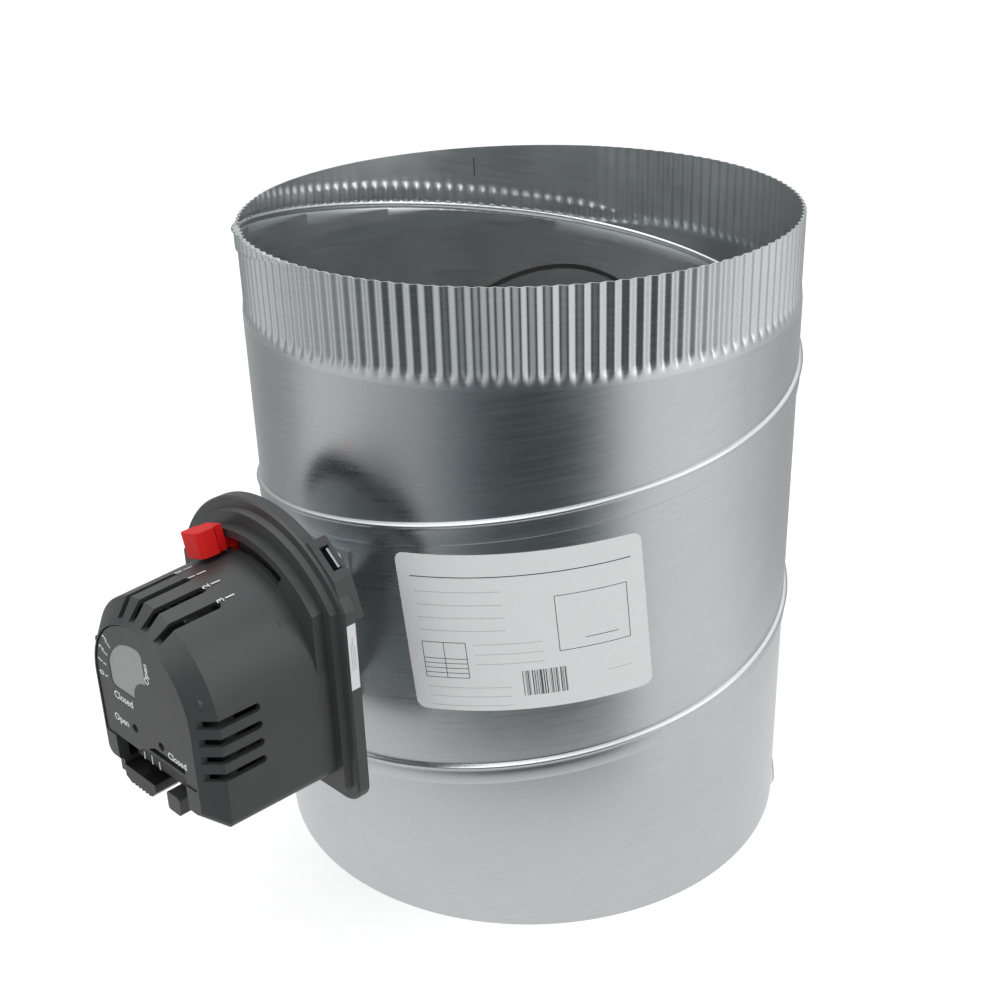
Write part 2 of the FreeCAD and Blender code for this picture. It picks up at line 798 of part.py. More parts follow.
bevel_back = rim_front + s.housing_depth
front = bevel_back + s.housing_bevel
boss_places = [(s.boss_across, s.boss_high), (-s.boss_across, s.boss_high),
               (s.boss_low_across, -s.boss_low), (-s.boss_low_across, -s.boss_low)]
roof_front = rim_front + s.collar_height
roof_back = roof_front - s.collar_roof
inner_front = front - s.face_recess - s.face_thickness - s.face_ledge
opening = (s.face_half_width, s.face_foot, s.face_half_width, zero + 0.5, s.face_corner)
hull = (s.housing_half_width, s.housing_foot, s.housing_half_width, zero, s.housing_corner)
housing = piece("actuator_housing")
sketch = drawing(housing, "hull", rim_front)
outline(sketch, arch(*hull))
pad(housing, sketch, s.housing_depth, -s.housing_draft)
draft_inset = s.housing_depth * sine(s.housing_draft) / cosine(s.housing_draft)
bevel_low = drawing(housing, "bevel_low", bevel_back)
outline(bevel_low, inset_arch(*hull, draft_inset))
bevel_high = drawing(housing, "bevel_high", front)
outline(bevel_high, arch(s.front_half_width, s.front_foot, s.front_half_width, zero, s.front_corner))
loft(housing, "Additive", bevel_low, bevel_high)


def hood(half_width, low, radius):
    """A round top with upright sides that ends at a flat line."""
    shoulder = side(radius, half_width)
    return [(-half_width, low), (half_width, low), (half_width, shoulder, radius, 1),
            (zero, zero + radius, radius, 1), (-half_width, shoulder)]


collar_side = s.housing_half_width - 0.5
sketch = drawing(housing, "collar", rim_front)
collar_low = zero + 5
outline(sketch, hood(collar_side, collar_low, s.collar_radius))
pad(housing, sketch, s.collar_height)
sketch = drawing(housing, "hollow", rim_front)
outline(sketch, inset_arch(*hull, s.housing_wall))
pocket(housing, sketch, s.housing_depth, -s.housing_draft)
bevel_share = (inner_front - bevel_back) / s.housing_bevel
wall_inset = s.housing_wall + draft_inset
slant_wall = s.housing_wall * 1.3
room_half = s.housing_half_width - draft_inset
room_half = room_half + (s.front_half_width - room_half) * bevel_share - slant_wall
room_foot = s.housing_foot - draft_inset
room_foot = room_foot + (s.front_foot - room_foot) * bevel_share - slant_wall
room_low = drawing(housing, "room_low", bevel_back)
outline(room_low, inset_arch(*hull, wall_inset))
room_high = drawing(housing, "room_high", inner_front)
outline(room_high, arch(room_half, room_foot, room_half, zero, s.housing_corner - wall_inset))
loft(housing, "Subtractive", room_low, room_high)
inner_side = collar_side - s.housing_wall
inner_radius = s.collar_radius - s.housing_wall
sketch = drawing(housing, "collar_hollow", rim_front)
outline(sketch, hood(inner_side, collar_low, inner_radius))
pocket(housing, sketch, roof_back - rim_front)
sketch = drawing(housing, "stop_slot", roof_back - 1)
slot_low = s.stop_slot_radius - s.stop_slot_half_width
slot_high = s.stop_slot_radius + s.stop_slot_half_width
left, right = 90 + s.stop_slot_left, 90 - s.stop_slot_right
outline(sketch, [(*polar(slot_low, right), slot_low, 1), (*polar(slot_low, 90 + zero), slot_low, 1),
                 polar(slot_low, left), (*polar(slot_high, left), slot_high, -1),
                 (*polar(slot_high, 90 + zero), slot_high, -1), polar(slot_high, right)])
pocket(housing, sketch, s.collar_roof + 2)
sketch = drawing(housing, "face_window", inner_front - 1)
outline(sketch, inset_arch(*opening, s.face_ledge * 0.5))
pocket(housing, sketch, 2 * s.face_ledge)
sketch = drawing(housing, "face_seat", inner_front + s.face_ledge)
outline(sketch, inset_arch(*opening, -s.face_gap))
pocket(housing, sketch, 3 * s.face_thickness)
sketch = drawing(housing, "terminal_opening", front - s.foot_open_depth)
outline(sketch, box(-s.foot_open_left, -s.housing_foot - 5, s.foot_open_right, -s.foot_open_top))
pocket(housing, sketch, s.foot_open_depth + 2)
vent_high = front - s.vent_front
vent_sight = s.housing_half_width + 2 * s.housing_wall
for name, angle, sign in (("right_vents", zero, -1), ("left_vents", zero + 180, 1)):
    sketch = facing(housing, name, angle, vent_sight)
    for index in range(int(s.vent_count.number)):
        near = sign * (s.vent_top - index * s.vent_pitch)
        far = near - sign * s.vent_width
        edges = (near, far) if sign < 0 else (far, near)
        outline(sketch, slot(*edges, vent_high - s.side_vent_length, vent_high))
    pocket(housing, sketch, vent_sight - s.vent_reach)
sketch = facing(housing, "top_vent", s.top_vent_start, vent_sight)
outline(sketch, slot(-s.vent_width / 2, s.vent_width / 2, vent_high - s.top_vent_length, vent_high))
first_vent = pocket(housing, sketch, vent_sight - s.vent_reach)
pattern = housing.newObject("PartDesign::PolarPattern", "top_vents")
pattern.Originals = [first_vent]
pattern.Axis = (next(item for item in housing.Origin.OriginFeatures if item.Role == "Z_Axis"), [""])
bind(pattern, "Angle", s.top_vent_pitch * (s.vent_count - 1))
bind(pattern, "Occurrences", s.vent_count)
housing.Tip = pattern
doc.recompute()
sketch = drawing(housing, "bosses", rim_front)
for across, up in boss_places:
    circle(sketch, across, up, s.boss_radius)
pad(housing, sketch, s.boss_length)
board_front = s.board_out
sketch = drawing(housing, "board_posts", board_front)
for across in (s.board_post_across, -s.board_post_across):
    for up in (s.board_post_high, -s.board_post_low):
        circle(sketch, across, up, s.post_radius)
pad(housing, sketch, inner_front - board_front + 1)
sketch = drawing(housing, "hooks", front - s.foot_open_depth - 1.5)
hook_high = -s.housing_foot + 5.5
outline(sketch, soft_box(s.hook_right, -s.hook_foot, s.hook_right + s.hook_width, hook_high, s.hook_corner))
outline(sketch, box(-s.foot_open_left - 3.5, -s.hook_foot + 3, -s.foot_open_left, hook_high))
pad(housing, sketch, s.foot_open_depth - 0.5)

# Face plate, window, lights and side label

plate_front = front - s.face_recess
plate_rear = plate_front - s.face_thickness

def window_corners(gap):
    """A quarter of a disc with round corners, to the left of and above the shaft, hollowed around its hub."""
    radius, hub, soft = s.window_radius - gap, s.window_hub + gap, s.window_corner - gap
    left, right, low = -s.window_left + gap, s.window_right - gap, -s.window_bottom + gap
    hub_x, hub_y = s.window_hub_across, -s.window_hub_drop
    hub_start = hub_x - side(hub, hub_y - low)
    hub_end = hub_y + side(hub, right - hub_x)
    round_left, round_right = left + soft, right - soft
    high_left, high_right = side(radius - soft, round_left), side(radius - soft, round_right)
    reach = radius / (radius - soft)
    corners = [(round_left, low), (hub_start, low, hub, -1), (right, hub_end), (right, high_right, soft, 1)]
    corners += [(round_right * reach, high_right * reach, radius, 1)]
    corners += [(round_left * reach, high_left * reach, soft, 1)]
    corners += [(left, high_left), (left, low + soft, soft, 1)]
    return corners


face = piece("face_plate")
sketch = drawing(face, "face_outline", plate_rear)
outline(sketch, arch(*opening))
pad(face, sketch, s.face_thickness)
sketch = drawing(face, "face_cuts", plate_rear)
outline(sketch, window_corners(zero))
for across in (-s.light_across, s.light_across):
    circle(sketch, across, -s.light_drop, s.light_hole_radius)
notch_right = s.foot_open_right
outline(sketch, [(-s.face_notch_left, -s.face_foot - 3), (notch_right, -s.face_foot - 3),
                 (notch_right, -s.face_notch_top), (s.face_notch_left * 0.5, -s.face_notch_top),
                 (-s.face_notch_left, -s.face_foot + 0.6)])
pocket(face, sketch, s.face_thickness)

window = piece("indicator_window")
sketch = drawing(window, "window_outline", plate_front - 0.3 - s.window_thickness)
outline(sketch, window_corners(2 * s.running_gap))
pad(window, sketch, s.window_thickness)

board_back = board_front - s.board_thickness
for label, across in (("open_light", -s.light_across), ("closed_light", s.light_across)):
    node(label, rod(label, s.light_radius, board_front, plate_front - s.light_depth, across, -s.light_drop))

side_at = s.base_half_width
side_top = s.side_label_top
side_low = side_top - s.side_label_length
label_back, label_front = skirt_back + 0.6, base_front - s.base_edge
side_sheet = slab("side_label", side_at, side_at + s.label_sheet, side_low, side_top, label_back, label_front)
node("side_label", side_sheet)

# Circuit board, terminals and cable latch

board = piece("circuit_board")
sketch = drawing(board, "board_outline", board_back)
outline(sketch, arch(s.board_half_width, s.board_foot, s.board_half_width, zero, s.face_corner))
pad(board, sketch, s.board_thickness)
sketch = drawing(board, "board_hole", board_back)
circle(sketch, zero, zero, s.hub_radius + 1.5)
pocket(board, sketch, s.board_thickness)

terminal_front = board_front + s.terminal_depth
terminals = piece("terminal_block")
sketch = drawing(terminals, "terminal_outline", board_front)
outline(sketch, box(-s.terminal_left, -s.terminal_foot, s.terminal_right, -s.terminal_top))
pad(terminals, sketch, s.terminal_depth)
sketch = drawing(terminals, "screw_wells", terminal_front - 5)
wire_places = [(index - 1.5) * s.terminal_pitch for index in range(4)]
for across in wire_places:
    circle(sketch, across, -s.terminal_foot + 7.5, s.terminal_hole)
pocket(terminals, sketch, zero + 6)
sketch = drawing(terminals, "wire_mouths", s.terminal_foot - 6, "XZ_Plane")
for across in wire_places:
    near, far = across - s.terminal_hole, across + s.terminal_hole
    outline(sketch, box(near, board_front + 2, far, board_front + 5.5))
pocket(terminals, sketch, zero + 8)
latch = piece("cable_latch")
latch_back = front - s.foot_open_depth + 3
sketch = drawing(latch, "latch_outline", latch_back)
latch_high = -s.housing_foot + 4
left, right = -s.latch_left - 1.9, -s.latch_right
outline(sketch, [(left, -s.latch_foot + 2), (left + 4, -s.latch_foot), (right - 4, -s.latch_foot),
                 (right, -s.latch_foot + 4), (right, latch_high), (left, latch_high)])
pad(latch, sketch, s.foot_open_depth - 4.5)
sketch = drawing(latch, "latch_ribs", latch_back + 2)
for index in range(6):
    rib = left + 5 + index * 2.6
    outline(sketch, box(rib, -s.latch_foot - 1, rib + 1.2, -s.latch_foot + 0.8))
pocket(latch, sketch, s.foot_open_depth)

# Gear train: the motor turns the hub on the shaft through two stepped gears


def gear_points(module, teeth, thin=0.08):
    """Straight-sided teeth, a little thinner than the spaces between them."""
    pitch = module * teeth / 2
    step = 2 * math.pi / teeth
    points = []
    for index in range(teeth):
        middle = index * step
        for radius, share in ((pitch - 1.2 * module, 0.34), (pitch + 0.9 * module, 0.11)):
            half = step * (share - thin / 2)
            points.append((radius, middle - half, middle + half))
    return points


def gear_solid(module, teeth, start, face, across, up, hole, turn=0.0):
    """A toothed wheel with a round hole, its first tooth at a turn in degrees."""
    rows = gear_points(module, teeth)
    corners = []
    for root, tip in zip(rows[0::2], rows[1::2]):
        for radius, angle in ((root[0], root[1]), (tip[0], tip[1]), (tip[0], tip[2]), (root[0], root[2])):
            angle += math.radians(turn)
            corners.append(V(across + radius * math.cos(angle), up + radius * math.sin(angle), start))
    wheel = Part.Face(Part.makePolygon(corners + corners[:1])).extrude(V(0, 0, face))
    if hole:
        wheel = wheel.cut(disc(hole, start - 1, face + 2, across, up))
    return wheel


def disc(radius, start, length, across=0.0, up=0.0):
    return Part.makeCylinder(radius, length, V(across, up, start))


def in_shaft_frame(shape):
    shape.Placement = FreeCAD.Placement(V(0, 0, s.shaft_height.number), TO_SHAFT)
    return shape


level = s.gear_level.number
width = s.gear_face.number
step_gap = s.gear_level_gap.number
teeth_big = int(s.stage_gear_teeth.number)
teeth_small = int(s.stage_pinion_teeth.number)
teeth_hub = int(s.hub_gear_teeth.number)
modules = [s.hub_module.number, s.second_module.number, s.first_module.number]
second_reach = modules[0] * (teeth_hub + teeth_small) / 2
first_reach = modules[1] * (teeth_big + teeth_small) / 2
motor_reach = modules[2] * (teeth_big + teeth_small) / 2


def from_point(start, reach, angle):
    return start[0] + reach * math.cos(math.radians(angle)), start[1] + reach * math.sin(math.radians(angle))


def meshing_turn(angle, driver_turn, driver_teeth, teeth):
    """The turn that puts a space of this wheel where the driver's tooth points, on the line at an angle."""
    driver_step = 360 / driver_teeth
    phase = ((angle - driver_turn) / driver_step) % 1.0
    return angle + 180 + (phase + 0.5) * 360 / teeth


second_at = from_point((0, 0), second_reach, s.second_gear_angle.number)
first_at = from_point(second_at, first_reach, s.first_gear_angle.number)
motor_at = from_point(first_at, motor_reach, s.motor_angle.number)
second_level = level + width + 1 + step_gap
first_level = second_level + width + step_gap
axle = s.axle_radius.number
gap = s.running_gap.number
hub_start = (rim_front + s.stop_thickness).number + 1.4
hub = disc(s.hub_radius.number - 0.3, hub_start, s.hub_front.number - hub_start)
shaft_end = s.shaft_front.number + 0.1
hub_bore = disc(s.shaft_radius.number + 0.02, hub_start - 1, shaft_end - hub_start + 1)
hub_wheel = gear_solid(modules[0], teeth_hub, level + 1, width, 0, 0, 0).fuse(hub)
feature("drive_hub_gear", in_shaft_frame(hub_wheel.cut(hub_bore)))

turn_second = meshing_turn(s.second_gear_angle.number, 0.0, teeth_hub, teeth_small)
second = gear_solid(modules[0], teeth_small, level, width + 1 + step_gap, *second_at, 0, turn_second)
second = second.fuse(gear_solid(modules[1], teeth_big, second_level, width - 1, *second_at, 0))
second = second.cut(disc(axle + gap, level - 5, 30, *second_at))
feature("second_gear", in_shaft_frame(second))
turn_first = meshing_turn(s.first_gear_angle.number, 0.0, teeth_big, teeth_small)
first_length = width + step_gap + 1
first = gear_solid(modules[1], teeth_small, second_level - 0.5, first_length, *first_at, 0, turn_first)
first = first.fuse(gear_solid(modules[2], teeth_big, first_level, width - 2, *first_at, 0))
first = first.cut(disc(axle + gap, level - 5, 30, *first_at))
feature("first_gear", in_shaft_frame(first))
turn_motor = meshing_turn(s.motor_angle.number, 0.0, teeth_big, teeth_small)
pinion = gear_solid(modules[2], teeth_small, first_level - 0.5, width - 1.2, *motor_at, 0, turn_motor)
pinion_bore = disc(axle * 0.5, first_level - 2, 20, *motor_at)
feature("motor_pinion", in_shaft_frame(pinion.cut(pinion_bore)))

plate_level = plate_back.number
floor_level = rim_front.number
motor = disc(s.motor_radius.number, plate_level + s.gear_plate_sheet.number, s.motor_length.number, *motor_at)
motor = motor.fuse(disc(axle * 0.5, first_level - 0.5, plate_level - first_level + 4, *motor_at))
feature("drive_motor", in_shaft_frame(motor))
axles = [disc(axle, floor_level, plate_level + 1 - floor_level, *place) for place in (second_at, first_at)]
collars = [disc(axle + 1.2, floor_level, low - 0.3 - floor_level, *place)
           for place, low in ((second_at, level), (first_at, second_level - 0.5))]
feature("gear_axles", in_shaft_frame(axles[0].fuse(collars[0]).fuse([axles[1].fuse(collars[1])])))

gear_plate = piece("gear_plate")
sketch = drawing(gear_plate, "gear_plate_outline", plate_back)
outline(sketch, arch(zero + 35, zero + 41, zero + 35, zero, s.face_corner))
pad(gear_plate, sketch, s.gear_plate_sheet)
sketch = drawing(gear_plate, "gear_plate_holes", plate_back)
circle(sketch, zero, zero, s.hub_radius + 1.5)
for across, up in pillar_places:
    circle(sketch, zero + across, zero + up, s.axle_radius + s.running_gap)
for place in (second_at, first_at):
    circle(sketch, zero + place[0], zero + place[1], s.axle_radius + s.running_gap)
circle(sketch, zero + motor_at[0], zero + motor_at[1], s.axle_radius)
pocket(gear_plate, sketch, s.gear_plate_sheet)

pointer = piece("position_indicator")
sketch = drawing(pointer, "pointer_disc", s.hub_front)
circle(sketch, zero, zero, s.window_hub + 0.5)
pad(pointer, sketch, zero + 2.5)
sketch = drawing(pointer, "pointer_hand", s.hub_front + 1)
outline(sketch, [(zero - 3.5, zero + 5), (zero + 3.5, zero + 5), (zero + 2.5, zero + 21), (zero, zero + 23.5),
                 (zero - 2.5, zero + 21)])
pad(pointer, sketch, zero + 1.5)

# Range stop lever: a ring on the base's pilot, an arm and a stem that carries the knob

lever_back = rim_front + 0.2
rest = 90 + s.stop_rest_angle
lever = piece("range_stop_lever")
sketch = drawing(lever, "lever_ring", lever_back)
circle(sketch, zero, zero, s.stop_ring_radius)
pad(lever, sketch, s.stop_thickness)
sketch = drawing(lever, "lever_arm", lever_back)
arm_end = s.stop_slot_radius + s.stop_stem / 2
outline(sketch, ray_block(s.stop_ring_radius - 2, arm_end, s.stop_arm_half_width, rest, zero))
pad(lever, sketch, s.stop_thickness)
sketch = drawing(lever, "lever_stem", lever_back)
outline(sketch, ray_block(s.stop_slot_radius - s.stop_stem / 2, arm_end, s.stop_stem / 2, rest, zero))
pad(lever, sketch, roof_front - lever_back + 2)
sketch = facing(lever, "lever_knob", rest, s.knob_outer)
knob_low = roof_front + s.knob_start
knob_neck = knob_low + s.knob_waist_height
knob_high = knob_low + s.knob_length
soft = s.knob_corner
half, waist = s.knob_half_width, s.knob_waist
knob_wide = knob_neck + s.knob_flare
knob_right = [(-waist, knob_low), (waist, knob_low), (waist, knob_neck), (half, knob_wide)]
knob_top = [(half, knob_high - soft, soft, 1), (half - soft, knob_high), (-half + soft, knob_high, soft, 1)]
knob_left = [(-half, knob_high - soft), (-half, knob_wide), (-waist, knob_neck)]
outline(sketch, knob_right + knob_top + knob_left)
pad(lever, sketch, s.knob_outer - s.knob_inner)
sketch = drawing(lever, "lever_bore", lever_back)
circle(sketch, zero, zero, s.pilot_radius)
pocket(lever, sketch, s.stop_thickness)

# Label on the duct: a thin sheet with round corners that follows the tube


def duct_label_shape():
    radius = s.duct_radius.number
    half_width, half_height = s.label_width.number / 2, s.label_height.number / 2
    corner = s.label_corner.number
    flat = Part.makeBox(2 * half_width, 2 * half_height, 40, V(-half_width, -half_height, 100))
    upright = [edge for edge in flat.Edges if abs(edge.Vertexes[0].Z - edge.Vertexes[-1].Z) > 30]
    flat = flat.makeFillet(corner, upright)
    flat.rotate(V(0, 0, 0), V(0, 0, 1), s.label_tilt.number)
    flat.rotate(V(0, 0, 0), V(1, 0, 0), 90)
    flat.rotate(V(0, 0, 0), V(0, 0, 1), 90 + s.label_centre_angle.number)
    flat.translate(V(0, 0, s.label_centre_height.number))
    under = radius + s.running_gap.number
    skin = Part.makeCylinder(under + s.label_sheet.number, s.duct_length.number)
    skin = skin.cut(Part.makeCylinder(under, s.duct_length.number))
    return skin.common(flat)


feature("duct_label", duct_label_shape())

# Write each node to its own file


def write_nodes():
    doc.recompute()
    os.makedirs("parts", exist_ok=True)
    for thing in doc.Objects:
        if "Invalid" in thing.State or "Error" in thing.State:
            raise ValueError(f"{thing.Name} is {thing.State}")
    for label, thing in nodes.items():
        shape = thing.Shape
        if shape.isNull() or not shape.isValid():
            raise ValueError(f"{label} has no valid shape")
        shape.exportStep(f"parts/{label}.step")


write_nodes()
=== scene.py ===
"""Looks of a volume control damper: a round spiral duct with a crimped end, a disc blade and a rotary
actuator."""

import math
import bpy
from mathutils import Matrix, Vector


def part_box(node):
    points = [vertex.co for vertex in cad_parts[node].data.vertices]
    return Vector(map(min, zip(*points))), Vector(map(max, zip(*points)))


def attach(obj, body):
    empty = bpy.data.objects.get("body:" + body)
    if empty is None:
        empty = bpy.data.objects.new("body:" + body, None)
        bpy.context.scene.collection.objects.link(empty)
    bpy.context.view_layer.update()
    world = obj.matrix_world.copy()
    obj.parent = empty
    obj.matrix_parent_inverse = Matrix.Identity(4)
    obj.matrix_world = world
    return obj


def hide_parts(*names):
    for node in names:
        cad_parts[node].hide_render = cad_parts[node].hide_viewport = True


bl_info = {
    "name": "Volume control damper",
    "version": (1, 0, 0),
    "blender": (4, 5, 0),
    "location": "3D View > Sidebar > Damper",
    "description": "Builds the visible surfaces, prints and studio of a round volume control damper",
    "category": "Add Mesh",
}

import bpy
import numpy as np
from bpy.props import FloatProperty, FloatVectorProperty, PointerProperty
from mathutils import Matrix, Vector

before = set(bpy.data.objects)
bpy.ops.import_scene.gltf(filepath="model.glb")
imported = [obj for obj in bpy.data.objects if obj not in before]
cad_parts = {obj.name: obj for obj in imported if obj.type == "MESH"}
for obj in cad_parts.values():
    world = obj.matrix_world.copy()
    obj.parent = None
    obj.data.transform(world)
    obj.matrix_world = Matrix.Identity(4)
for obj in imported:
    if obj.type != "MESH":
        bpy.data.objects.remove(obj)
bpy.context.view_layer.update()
MM = 0.001

# Places read from the frame, in millimetres. The shaft's frame is across +X, up +Z from the shaft, and
# out -Y from the duct's axis.

DUCT_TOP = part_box("spiral_duct")[1].z / MM
SHAFT_LOW, SHAFT_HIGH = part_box("damper_shaft")
SHAFT_HEIGHT = (SHAFT_LOW.z + SHAFT_HIGH.z) / 2 / MM
STATIC = "duct_and_actuator"

# Duct sizes in millimetres: the solid duct's, with its crimps drawn a little shallower

WALL_RADIUS = 127.7
SHEET = 0.7
SEAM_PITCH = 118.8
SEAM_START = -12.0
CRIMP_LENGTH = 41.0
CRIMP_DROP = 0.8
CRIMP_DEPTH = 1.2
CRIMP_COUNT = 132
PLAIN_TOP = DUCT_TOP - CRIMP_LENGTH
LAST_RIDGE = SEAM_START + 2 * SEAM_PITCH

# Heights above the seam's ridge, with how far the sheet's outside stands out there and its inside stands in
SEAM_HEIGHTS = np.array([-10.2, -9.5, -9.1, -8.7, -7.6, -5.0, -2.4, -1.6, -1.25, -0.9, -0.5, 0.0, 0.5, 0.9,
                         1.2, 1.4, 2.2])
SEAM_RISES = np.array([0.0, 0.0, 0.45, 0.85, 1.0, 1.0, 0.95, 0.75, 0.85, 1.35, 1.75, 1.88, 1.75, 1.35,
                       0.7, 0.0, 0.0])
INNER_HEIGHTS = np.array([-10.2, -3.0, -2.6, -1.9, -1.4, -1.0, -0.7, -0.2, 0.3, 0.6, 0.9, 2.2])
INNER_RISES = np.array([0.0, 0.0, -0.2, -0.2, 0.0, 0.3, 0.52, 0.6, 0.5, 0.28, 0.0, 0.0])

# Columns round the plain wall and across one crimp, and the rows of the plain strip between two turns of
# the seam
WALL_COLUMNS = 360
CRIMP_COLUMNS = 10
STRIP_ROWS = 5
STRIP_MARGIN = 8
# Rows of the crimped band above its foot, and of the bumps above the seam's ridge
BAND_ROWS = np.concatenate([np.linspace(0, 9.6, 11), [14.0, 22.0, 31.0, CRIMP_LENGTH]])
BUMP_ROWS = np.array([3.0, 4.0, 7.5, 8.7, 9.9, 11.1, 12.2])

# Soft steps, each with its start and its length: the crimps end and come back, and the bumps begin and end,
# in degrees round the duct, and the bumps' two edges above the ridge and their start above the band's foot,
# in millimetres
CRIMPS_END, CRIMPS_RETURN, BUMPS_BEGIN, BUMPS_END = (98, 22), (226, 14), (96, 16), (238, 6)
BUMPS_LOW, BUMPS_HIGH, BUMPS_FOOT = (0.8, 1.6), (7.5, 4.5), (0.4, 3)
# A crimp's foot and the slope of its crest, in the same way, how much later its valley's foot is, and how
# round it is
CRIMP_FOOT, CREST_SLOPE = (0.8, 6.5), (0, 9.0)
VALLEY_LEAD = 1.2
CRIMP_ROUNDNESS = 0.94

# Dark slits in the sheet near the rim: angle in degrees, and half width, lowest and highest in millimetres
SLITS = [(219.2, 0.45, 297.5, 304.0), (216.6, 0.45, 296.8, 303.3), (144.8, 0.22, 289.7, 299.3)]


def mesh_piece(name, points, faces, body, slot, material, sharp=35.0):
    """A mesh that rides on a body, from an array of points in millimetres and a list of index arrays, one
    array for each number of corners."""
    mesh = bpy.data.meshes.new(name)
    mesh.vertices.add(len(points))
    mesh.vertices.foreach_set("co", (np.asarray(points, float) * MM).astype(np.float32).ravel())
    corners = np.concatenate([np.asarray(some, np.int32).ravel() for some in faces])
    sizes = np.concatenate([np.full(len(some), some.shape[1], np.int32) for some in faces])
    mesh.loops.add(len(corners))
    mesh.loops.foreach_set("vertex_index", corners)
    mesh.polygons.add(len(sizes))
    mesh.polygons.foreach_set("loop_start", (np.cumsum(sizes) - sizes).astype(np.int32))
    mesh.update(calc_edges=True)
    mesh.validate()
    mesh.shade_smooth()
    mesh.set_sharp_from_angle(angle=math.radians(sharp))
    piece = bpy.data.objects.new(name, mesh)
    bpy.context.scene.collection.objects.link(piece)
    mesh.materials.append(material)
    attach(piece, body)
    return piece


def grid_quads(rows, columns, closed=False):
    """Quads of a grid of rows by columns, where a closed one joins its last column to its first."""
    joins = columns if closed else columns - 1
    row, column = np.meshgrid(np.arange(rows - 1), np.arange(joins), indexing="ij")
    after = (column + 1) % columns
    here, above = row * columns, (row + 1) * columns
    corners = here + column, here + after, above + after, above + column
    return np.stack([corner.ravel() for corner in corners], axis=1)


def ring_points(radius, angle, height):
    """x = r cos a, y = r sin a, z = h, for arrays of one shape."""
    return np.stack([radius * np.cos(angle), radius * np.sin(angle), height + 0 * radius], axis=-1)


def smooth_step(values, step):
    """3 t^2 - 2 t^3, where t goes from 0 at the step's start to 1 at its end and is held outside them."""
    start, length = step
    t = np.clip((values - start) / length, 0.0, 1.0)
    return t * t * (3 - 2 * t)


def to_row(across, up, out):
    """x = across, y = -out, z = shaft's height + up."""
    height = SHAFT_HEIGHT + np.asarray(up, float)
    return np.stack(np.broadcast_arrays(across, -np.asarray(out, float), height), axis=-1)


def merged(shapes):
    """Points and faces of several shapes as one, each face's numbers moved on by the points before it."""
    points, faces, start = [], [], 0
    for some_points, some_faces in shapes:
        points.append(some_points)
        faces += [face + start for face in some_faces]
        start += len(some_points)
    return np.concatenate(points), faces


def turned_about(profile, columns=28, lobes=None):
    """A closed solid of revolution about its own third axis, from rows of radius and height that run from
    the top's middle to the bottom's edge. Rows named in lobes have r (1 + depth cos 6 a)."""
    angle = np.arange(columns) * 2 * np.pi / columns
    profile = np.asarray(profile, float)
    radius = np.repeat(profile[:, :1], columns, axis=1)
    for row, depth in (lobes or {}).items():
        radius[row] *= 1 + depth * np.cos(6 * angle)
    points = ring_points(radius, np.broadcast_to(angle, radius.shape), profile[:, 1:])
    quads = grid_quads(len(profile), columns, closed=True)[:, ::-1]
    top = np.arange(columns)[None]
    bottom = (np.arange(columns) + (len(profile) - 1) * columns)[::-1][None]
    return points.reshape(-1, 3), [quads, top, bottom]


def pan_head(radius, height, recess=0.0):
    """A domed head with its underside at height 0, and a six-lobed recess where one is asked for. Its
    height is h sqrt(1 - 0.75 s^2) at a share s of its radius."""
    dome = [(radius * share, height * math.sqrt(1 - 0.75 * share ** 2)) for share in (0.5, 0.72, 0.88, 0.97)]
    rim = [(radius, height * 0.35), (radius, -0.15)]
    if not recess:
        return turned_about([(radius * 0.2, height)] + dome + rim)
    hole = [(recess, height * 0.45), (recess, height * 0.93), (recess * 1.08, height * 0.96)]
    return turned_about(hole + dome + rim, 36, {0: 0.13, 1: 0.13, 2: 0.1})


def stood_on(shape, place, outward):
    """The shape with its third axis turned outwards and its origin at a place."""
    points, faces = shape
    third = np.asarray(outward, float) / np.linalg.norm(outward)
    first = np.cross([0.0, 0.0, 1.0] if abs(third[2]) < 0.9 else [0.0, 1.0, 0.0], third)
    first /= np.linalg.norm(first)
    axes = np.stack([first, np.cross(third, first), third])
    return points @ axes + np.asarray(place, float), faces


# Materials


